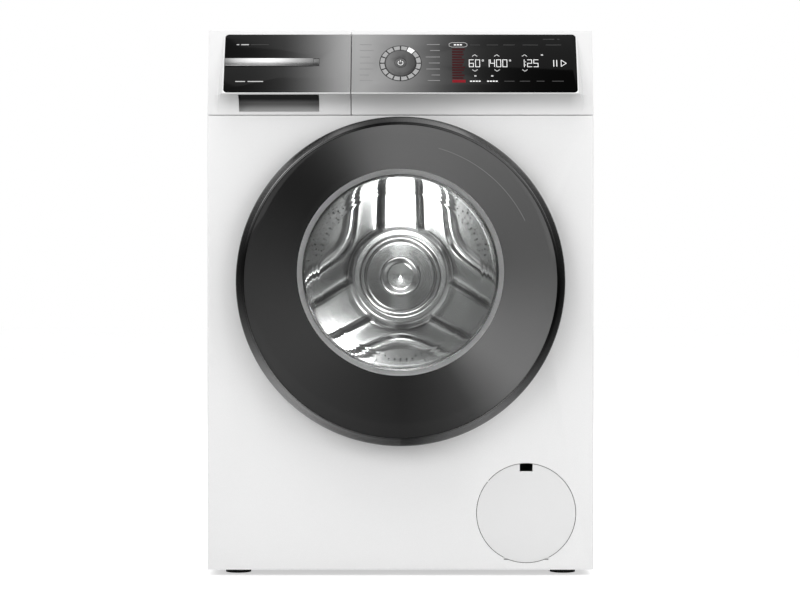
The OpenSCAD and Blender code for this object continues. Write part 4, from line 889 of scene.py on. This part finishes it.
# %% The power symbol
symbol = flat_segment(3.4, 4.3, radians(145), 0.12, 28, middle_angle=radians(-90))
symbol.name = "power_symbol"
stroke = flat_segment(1.6, 5.2, radians(7), 0.12, 1, middle_angle=radians(90))
bm = bmesh.new()
bm.from_mesh(symbol.data)
bm.from_mesh(stroke.data)
bm.to_mesh(symbol.data)
bm.free()
bpy.data.objects.remove(stroke)
key_top = max((v.co - on_glass(0, DIAL_UP)).dot(OUT) for v in frame["nodes"]["power_button"].data.vertices)
symbol.data.transform(Matrix.Translation(OUT * key_top) @ TO_GLASS)
finish_piece(symbol, LAMP_WHITE, "button")

# %% [markdown]
# ## The door
# Rim, smoked disc, window, bowl and rear frame are five pieces. Rim, window and bowl are turned: an outline is
# spun round the drum's direction. The disc's hole sits higher than its middle, so that the window is in line
# with the drum; it is a row of rings that slide from one circle's centre to the other's. The rear frame keeps
# its shape from the frame and has its edges rounded.

# %% Rim
f = DOOR_FRONT
r = DOOR_R
rim_outline = rounded([(r - 13, f + 0.4), (r - 9.5, f), (r, f + 11), (r, f + 27), (r - 8, f + 38), (r - 21, f + 38),
                       (r - 21, f + 35), (r - 9.2, f + 35), (r - 3, f + 26), (r - 3, f + 12.2), (r - 11.5, f + 6),
                       (r - 19, f + 6), (r - 19, f + 3.6), (r - 13, f + 3.6)], 3.2, 4)
rim = lathe("door_rim", rim_outline, DOOR_Z, 256)
HINGE_Z = [DRUM_Z - 45, DRUM_Z + 45]
HINGE_CUTS = [((-263, -24.5, z - 6), (-188, 4, z + 6)) for z in HINGE_Z]
cut_boxes(rim, HINGE_CUTS)
finish_piece(rim, RIM, "door", ["door_ring"])
print("rim:", len(rim.data.polygons), "faces")


# %% Smoked disc
def sliding_rings(name, rows, steps=256):
    """Joins circles into a closed shell. rows are (radius, centre height, y)."""
    bm = bmesh.new()
    rings = [[bm.verts.new(at(r * cos(2 * pi * k / steps), y, z + r * sin(2 * pi * k / steps)))
              for k in range(steps)] for r, z, y in rows]
    for a, b in zip(rings, rings[1:] + rings[:1]):
        for k in range(steps):
            n = (k + 1) % steps
            bm.faces.new((a[k], a[n], b[n], b[k]))
    return mesh_object(name, bm)


cover_low, cover_high = box_mm("door_cover")
cover_r = (cover_high.x - cover_low.x) / 2
front, back = cover_low.y, cover_high.y


def cover_row(share, y, grow=0.0):
    """A circle between the window's (share 0) and the disc's own edge (share 1)."""
    return (WINDOW_R + 0.1 + (cover_r - WINDOW_R - 0.1) * share + grow,
            DRUM_Z + (DOOR_Z - DRUM_Z) * share, y)


disc_rows = [cover_row(0, front + 0.9), cover_row(0, front + 0.35, 0.15), cover_row(0, front + 0.06, 0.6)]
disc_rows += [cover_row(0.25, front), cover_row(0.5, front), cover_row(0.75, front)]
disc_rows += [cover_row(1, front + 0.06, -0.6), cover_row(1, front + 0.35, -0.15), cover_row(1, front + 0.9),
              cover_row(1, back), cover_row(0, back)]
disc = sliding_rings("door_disc", disc_rows)
finish_piece(disc, SMOKED, "door", ["door_cover"])

# %% Fine arc printed on the disc
ARC = material("print_grey", (120, 136), 40, 900, 1e-6, (0.3, 0.4))
arc = flat_segment(211.2, 211.9, radians(24), 0.08, 60, middle_angle=radians(50))
arc.name = "disc_arc_print"
arc.data.transform(Matrix.Translation(at(0, front, DOOR_Z)) @ Matrix.Rotation(radians(90), 4, "X"))
finish_piece(arc, ARC, "door")

# %% Window, liner and bowl
f = box_mm("door_window")[0].y
window = lathe("door_window_pane", [(0, f + 2.8), (0, f)] + [(WINDOW_R - 0.9, f), (WINDOW_R - 0.3, f + 0.2),
               (WINDOW_R, f + 0.8), (WINDOW_R, f + 2.8)], DRUM_Z, 256)
finish_piece(window, FINISH["clear_cover"], "door", ["door_window"])

BOWL_OUT = [(164, -10.1), (150, -10.1), (149, 0), (146, 20), (142, 40), (137, 60), (131, 80), (124, 96), (118, 103),
            (110, 108.5), (100, 112), (88, 113), (0, 113)]
BOWL_IN = [(0, 109), (88, 109), (99, 108), (108, 104.5), (115, 99.5), (120.5, 93.5), (127, 79), (133, 60), (138, 40),
           (142, 20), (145, 0), (146, -13.9), (164, -13.9)]
bowl = lathe("door_bowl_glass", rounded(BOWL_OUT + BOWL_IN, 7, 4), DRUM_Z, 200)
finish_piece(bowl, FINISH["clear_glass"], "door", ["door_bowl"])
print("window and bowl:", len(window.data.polygons), len(bowl.data.polygons), "faces")

# %% Rear frame with its pale liner
LINER = material("frame_plastic", (120, 132), 9, 1500, 2e-5, (0.35, 0.5))
tree, shader, group = nodes_of(LINER)
place = add(tree, "ShaderNodeTexCoord").outputs["Object"]
axes = add(tree, "ShaderNodeSeparateXYZ", Vector=place).outputs
LINER_BACK = FRONT - 14 * MM
forward = add(tree, "ShaderNodeMapRange", Value=axes["Y"], i1=LINER_BACK - 0.5 * MM,
              i2=LINER_BACK + 0.5 * MM, i3=0.0, i4=1.0)
liner_tone = ramp(tree, forward.outputs[0], [(0.0, 250), (1.0, 120)])
mixed = add(tree, "ShaderNodeMix", {"data_type": "RGBA", "blend_type": "OVERLAY"}, i0=0.25, i6=liner_tone,
            i7=group.outputs["Color"])
tree.links.new(mixed.outputs[2], shader.inputs["Base Color"])
refined("door_frame_finished", ["door_frame"], LINER, 0.6)

# %% [markdown]
# ## The bellows
# A ring of soft rubber joins the still cabinet to the tub that bounces. Its folds are turned from one closed
# outline with generous rounding.

# %% Door gasket
GASKET = [(168, -3), (183, -3), (183, 0), (174.6, 0), (174.6, 9), (180, 12), (183, 17), (183, 21), (180, 26), (175, 29),
          (175, 33), (181, 37), (184, 42), (184, 59.9), (180.05, 59.9), (180.05, 44), (177.8, 40), (171.8, 35.4),
          (171.8, 27), (177, 24), (180, 20), (180, 18), (177, 14.6), (171.6, 12.6), (166, 14), (152, 13.5),
          (150.5, 10), (152, 8), (165, 7), (168, 3)]
gasket = lathe("door_gasket", rounded(GASKET, 3, 3), DRUM_Z, 240)
gasket.data.materials.append(FINISH["rubber_grey"])
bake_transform(gasket)
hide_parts("door_seal")
print("gasket:", len(gasket.data.polygons), "faces")

# %% [markdown]
# ## Hoses and springs behind the panels
# The tub hangs on two springs and is joined to the cabinet by hoses. They can't be seen from outside, but they
# stretch as the tub bounces. Each is a copy of its node.


def stretching(name, node):
    """A copy of a node, smoothly shaded, which then stands for it."""
    obj = object_from(name, frame["nodes"][node].data.copy())
    obj.data.materials.clear()
    obj.data.materials.append(FINISH[NODE_SLOT[node]])
    smooth_by_angle(obj.data, 40)
    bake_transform(obj)
    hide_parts(node)


stretching("springs_stretching", "suspension_springs")
stretching("hoses_stretching", "dispenser_hoses")
stretching("sump_hose_bending", "sump_hose")

# %% [markdown]
# ## The drum
# Its rear disc is one deep pressing: three broad arms from the hub, each with a channel and a bead beside it.
# A pressing is a height over a flat disc, so it is made as one: a fine polar grid whose points move forward by a
# rule. The rule asks how far a point lies from the nearest arm's middle line, with the three answers melted
# together so that the beads turn smoothly from one arm to the next.

# %% The rule of the pressing
ARMS = (90, 210, 330)
DISC_Y = box_mm("drum_back")[1].y


def ease(value, low, high):
    t = min(max((value - low) / (high - low), 0), 1)
    return t * t * (3 - 2 * t)


def arm_distance(x, z, melt=11.0):
    """Distance in millimetres to the nearest arm's middle line, melted where two are equally near."""
    total = 0.0
    for a in ARMS:
        along = x * cos(radians(a)) + z * sin(radians(a))
        across = abs(z * cos(radians(a)) - x * sin(radians(a)))
        d = across if along > 0 else hypot(along, across)
        total += exp(-d / melt)
    return -melt * log(total)


def pressing(x, z):
    """How far the disc stands forward of its flat back, in millimetres."""
    r = hypot(x, z)
    d = arm_distance(x, z)
    fade = 1 - ease(r, 204, 216)
    ridge = 8.0 * (1 - ease(d, 22, 33))
    bead = 6.5 * ease(d, 60, 68) * (1 - ease(d, 72, 80))
    field = 2.5 * ease(d, 72, 80)
    height = (max(ridge, bead) + field) * fade
    hub = 11.5 * (1 - ease(r, 66, 74)) - 2.6 * ease(r, 50, 52) * (1 - ease(r, 55, 57))
    lip = 1.6 * ease(r, 222, 228)
    return max(height, hub) + lip


def painted_light_at(x, z):
    """Painted light on the steel: painted highlights on the beads and the middle of the arms, painted shade in the
    channels, and a painted reflection that sweeps round to the upper right.
    """
    r, d = hypot(x, z), arm_distance(x, z)
    turn = degrees(atan2(x, z))
    sweep = 0.5 + 0.5 * cos(radians(turn - 48))
    level = 0.40 + 0.24 * sweep ** 3 - 0.12 * ease(turn, -100, -60) * (1 - ease(turn, -20, 0))
    level += 0.12 * ease(cos(radians(2 * turn)), 0.2, 1.0) * (1 - ease(d, 20, 30))
    level -= 0.34 * ease(d, 24, 29) * (1 - ease(d, 30, 35))
    level += 0.38 * ease(d, 32, 35) * (1 - ease(d, 36, 39))
    level -= 0.22 * ease(d, 36, 44) * (1 - ease(d, 52, 60)) * (1 - ease(r, 95, 150))
    level -= 0.25 * ease(d, 58, 62) * (1 - ease(d, 64, 67))
    level += 0.55 * ease(d, 66, 69) * (1 - ease(d, 73, 77))
    level += 0.10 * ease(abs(cos(radians(3.5 * turn + 20))), 0.75, 1.0)
    level = level if r > 73 else 0.42 + 0.2 * sweep
    level += 0.3 * ease(r, 67, 69) * (1 - ease(r, 70, 73)) - 0.2 * ease(r, 73, 75) * (1 - ease(r, 77, 82))
    level -= 0.26 * ease(r, 30, 33) * (1 - ease(r, 44, 52)) * ease(abs(x), 6, 20)
    return min(max(level, 0.05), 1.0)


# %% Rear disc of the drum
# The rear disc's tone is painted light: painted highlights on the beads, painted shade in the channels and a painted
# reflection towards the upper right.
STAINLESS = material("pressed_stainless_painted_light", (244, 252), 14, 500, 3e-6, (0.16, 0.26), Metallic=1.0)
tree = STAINLESS.node_tree
painted_light = add(tree, "ShaderNodeAttribute", {"attribute_name": "painted_light"}).outputs["Fac"]
times_grain(STAINLESS, ramp(tree, painted_light, [(0.0, 44), (1.0, 225)]))
STAINLESS.node_tree.nodes["Color Ramp"].color_ramp.interpolation = "LINEAR"
bm = bmesh.new()
radii = [1.5 + 2.15 * k for k in range(108)]
sides = 420
plate = DISC_Y - 1.5
rings = []
for radius in radii:
    ring = []
    for k in range(sides):
        x, z = radius * cos(2 * pi * k / sides), radius * sin(2 * pi * k / sides)
        ring.append(bm.verts.new(at(x, plate - pressing(x, z), DRUM_Z + z)))
    rings.append(ring)
rim_back = [bm.verts.new(at(DRUM_R * cos(2 * pi * k / sides), DISC_Y, DRUM_Z + DRUM_R * sin(2 * pi * k / sides)))
            for k in range(sides)]
rings.append(rim_back)
for a, b in zip(rings, rings[1:]):
    for k in range(sides):
        n = (k + 1) % sides
        bm.faces.new((a[k], a[n], b[n], b[k]))
front_pole = bm.verts.new(at(0, plate - pressing(0, 0), DRUM_Z))
back_pole = bm.verts.new(at(0, DISC_Y, DRUM_Z))
for k in range(sides):
    n = (k + 1) % sides
    bm.faces.new((front_pole, rings[0][n], rings[0][k]))
    bm.faces.new((back_pole, rim_back[k], rim_back[n]))
star = mesh_object("drum_rear_disc", bm, 50)
gloss = star.data.attributes.new("painted_light", "FLOAT", "POINT")
for item, vert in zip(gloss.data, star.data.vertices):
    spot = vert.co - at(0, 0, DRUM_Z)
    item.value = painted_light_at(spot.x / MM, spot.z / MM)
finish_piece(star, STAINLESS, "drum", ["drum_back"])
print("rear disc:", len(star.data.polygons), "faces")

# %% Hub cap
CAP = material("hub_cap", (168, 186), 12, 600, 2e-6, (0.12, 0.2), Metallic=1.0)
cap_front = box_mm("drum_back")[0].y
cap = lathe("drum_hub_cap", rounded([(0, plate - 9), (0, cap_front + 4.2), (20, cap_front + 3), (26, cap_front),
                                     (28.5, cap_front), (30, cap_front + 3), (30, plate - 9)], 1.6, 4), DRUM_Z, 160)
finish_piece(cap, CAP, "drum")
ring = lathe("drum_hub_ring", rounded([(51.5, plate - 8), (51.5, plate - 13.5), (56.5, plate - 13.5),
                                       (56.5, plate - 8)], 2.2, 4), DRUM_Z, 160)
finish_piece(ring, CAP, "drum")

# %% Drum shell, mouth and lifters
shell = lathe("drum_wall", [(DRUM_R - 1, DRUM_LOW.y), (DRUM_R, DRUM_LOW.y), (DRUM_R, DRUM_HIGH.y),
                            (DRUM_R - 1, DRUM_HIGH.y)], DRUM_Z, 240)
finish_piece(shell, FINISH["stainless"], "drum", ["drum_shell"])
refined("drum_mouth", ["drum_front"], FINISH["stainless"], 0.3)
LIFTER = material("lifter_plastic", (150, 165), 8, 1200, 2e-5, (0.35, 0.5))
refined("drum_lifters_finished", ["drum_lifters"], LIFTER, 3.0, segments=4)

# %% [markdown]
# ## Perforations
# Water leaves the drum through hundreds of small holes. Each is a dimple with a dark throat, painted shade for the
# hole's dark depth, only a few faces big, because it is repeated so often. Rows go round the wall, every second
# row shifted by half a step, and leave out the strips under the lifters; a finer field fills the rear disc between its
# arms.

# %% A dimple
# Painted shade: the near-black of each hole stands for the dark space behind the drum.
HOLE = material("hole_painted_shade", (10, 18), 40, 900, 1e-6, (0.6, 0.8))


def dimple(name, radius, sides=8):
    bm = bmesh.new()
    rings = [[bm.verts.new((radius * s * MM * cos(2 * pi * k / sides), radius * s * MM * sin(2 * pi * k / sides),
                            z * MM)) for k in range(sides)] for s, z in ((1.0, 0.02), (0.92, 0.16), (0.0, 0.1))]
    for a, b in zip(rings, rings[1:]):
        for k in range(sides):
            n = (k + 1) % sides
            bm.faces.new((a[k], a[n], b[n], b[k]))
    bm.faces.new(list(reversed(rings[0])))
    bmesh.ops.remove_doubles(bm, verts=bm.verts, dist=1e-7)
    return mesh_object(name, bm, merge=1e-7)


def lifter_near(angle, half=14):
    return any(abs((angle - a + 180) % 360 - 180) < half for a in (30, 150, 270))


places = []
columns = 84
for row in range(18):
    y = DRUM_LOW.y + 16 + row * 17.6
    for column in range(columns):
        turn = 360 * (column + 0.5 * (row % 2)) / columns
        if not lifter_near(turn):
            way = Vector((cos(radians(turn)), 0, sin(radians(turn))))
            places.append((at((DRUM_R - 1) * way.x, y, DRUM_Z + (DRUM_R - 1) * way.z), -way))
wall_holes = stamp("drum_wall_perforations", places, dimple("hole", 1.7), HOLE)
finish_piece(wall_holes, HOLE, "drum")

# %% Holes in the rear disc
places = []
pitch = 9.0
for i in range(-30, 31):
    for j in range(-30, 31):
        x, z = (i + 0.5 * (j % 2)) * pitch, j * pitch * 0.866
        if 118 < hypot(x, z) < 205 and arm_distance(x, z) > 84:
            places.append((at(x, plate - pressing(x, z), DRUM_Z + z), Vector((0, -1, 0))))
disc_holes = stamp("drum_disc_perforations", places, dimple("hole", 1.5), HOLE)
finish_piece(disc_holes, HOLE, "drum")

# %% [markdown]
# ## Room and light
# The machine stands in a white studio on a pale floor, with nothing behind it, so that it can be looked at from
# every side. Big soft lamps stand at both sides, above and behind, and a small lamp inside the drum lets its steel
# show through the glass. What the camera sees past the floor is plain white, brighter than the light it gives.

# %% Floor
FLOOR_GLOW = 0.62
FLOOR_R = 30
STAGE = material("studio_white", (244, 248), 1, 40, 1e-4, (0.7, 0.9))
tree, shader, group = nodes_of(STAGE)
seen = add(tree, "ShaderNodeLightPath").outputs["Is Camera Ray"]
glow = add(tree, "ShaderNodeMath", {"operation": "MULTIPLY"}, i0=seen, i1=FLOOR_GLOW).outputs[0]
tree.links.new(group.outputs["Color"], shader.inputs["Emission Color"])
tree.links.new(glow, shader.inputs["Emission Strength"])
bm = bmesh.new()
bmesh.ops.create_circle(bm, cap_ends=True, radius=FLOOR_R, segments=64)
bmesh.ops.translate(bm, vec=(0, 0, -0.0002), verts=bm.verts)
studio = mesh_object("studio", bm)
studio.data.materials.append(STAGE)
print("floor:", len(studio.data.polygons), "face")


# %% Lights
def soft_light(name, place, aim, size, power, size_y=None):
    data = bpy.data.lights.new(name, "AREA")
    data.shape = "RECTANGLE"
    data.size, data.size_y = size, size_y or size
    data.energy = power
    obj = bpy.data.objects.new(name, data)
    bpy.context.scene.collection.objects.link(obj)
    obj.location = place
    obj.rotation_euler = (Vector(aim) - Vector(place)).to_track_quat("-Z", "Y").to_euler()
    obj.visible_camera = False
    return obj


soft_light("key", (-2.2, -3.0, 2.2), (0, 0, 0.45), 2.0, 33)
soft_light("fill", (2.4, -2.8, 1.8), (0, 0, 0.45), 2.0, 24)
soft_light("top", (0, -0.4, 3.0), (0, 0, 0.4), 2.4, 34)
soft_light("back", (1.4, 3.2, 2.2), (0, 0.2, 0.5), 2.0, 24)
soft_light("drum_lamp", at(0, 130, DRUM_Z + 120), at(0, 420, DRUM_Z - 20), 0.12, 0.45)
soft_light("drum_lamp_low", at(-90, 150, DRUM_Z - 110), at(30, 420, DRUM_Z), 0.08, 0.34)
ROOM_LIGHT = 0.46
world = bpy.data.worlds.new("studio")
world.use_nodes = True
world.node_tree.nodes["Background"].inputs["Color"].default_value = (1, 1, 1, 1)
tree = world.node_tree
seen = add(tree, "ShaderNodeLightPath").outputs["Is Camera Ray"]
strength = add(tree, "ShaderNodeMapRange", Value=seen, i1=0.0, i2=1.0, i3=ROOM_LIGHT, i4=1.0).outputs[0]
tree.links.new(strength, tree.nodes["Background"].inputs["Strength"])
bpy.context.scene.world = world
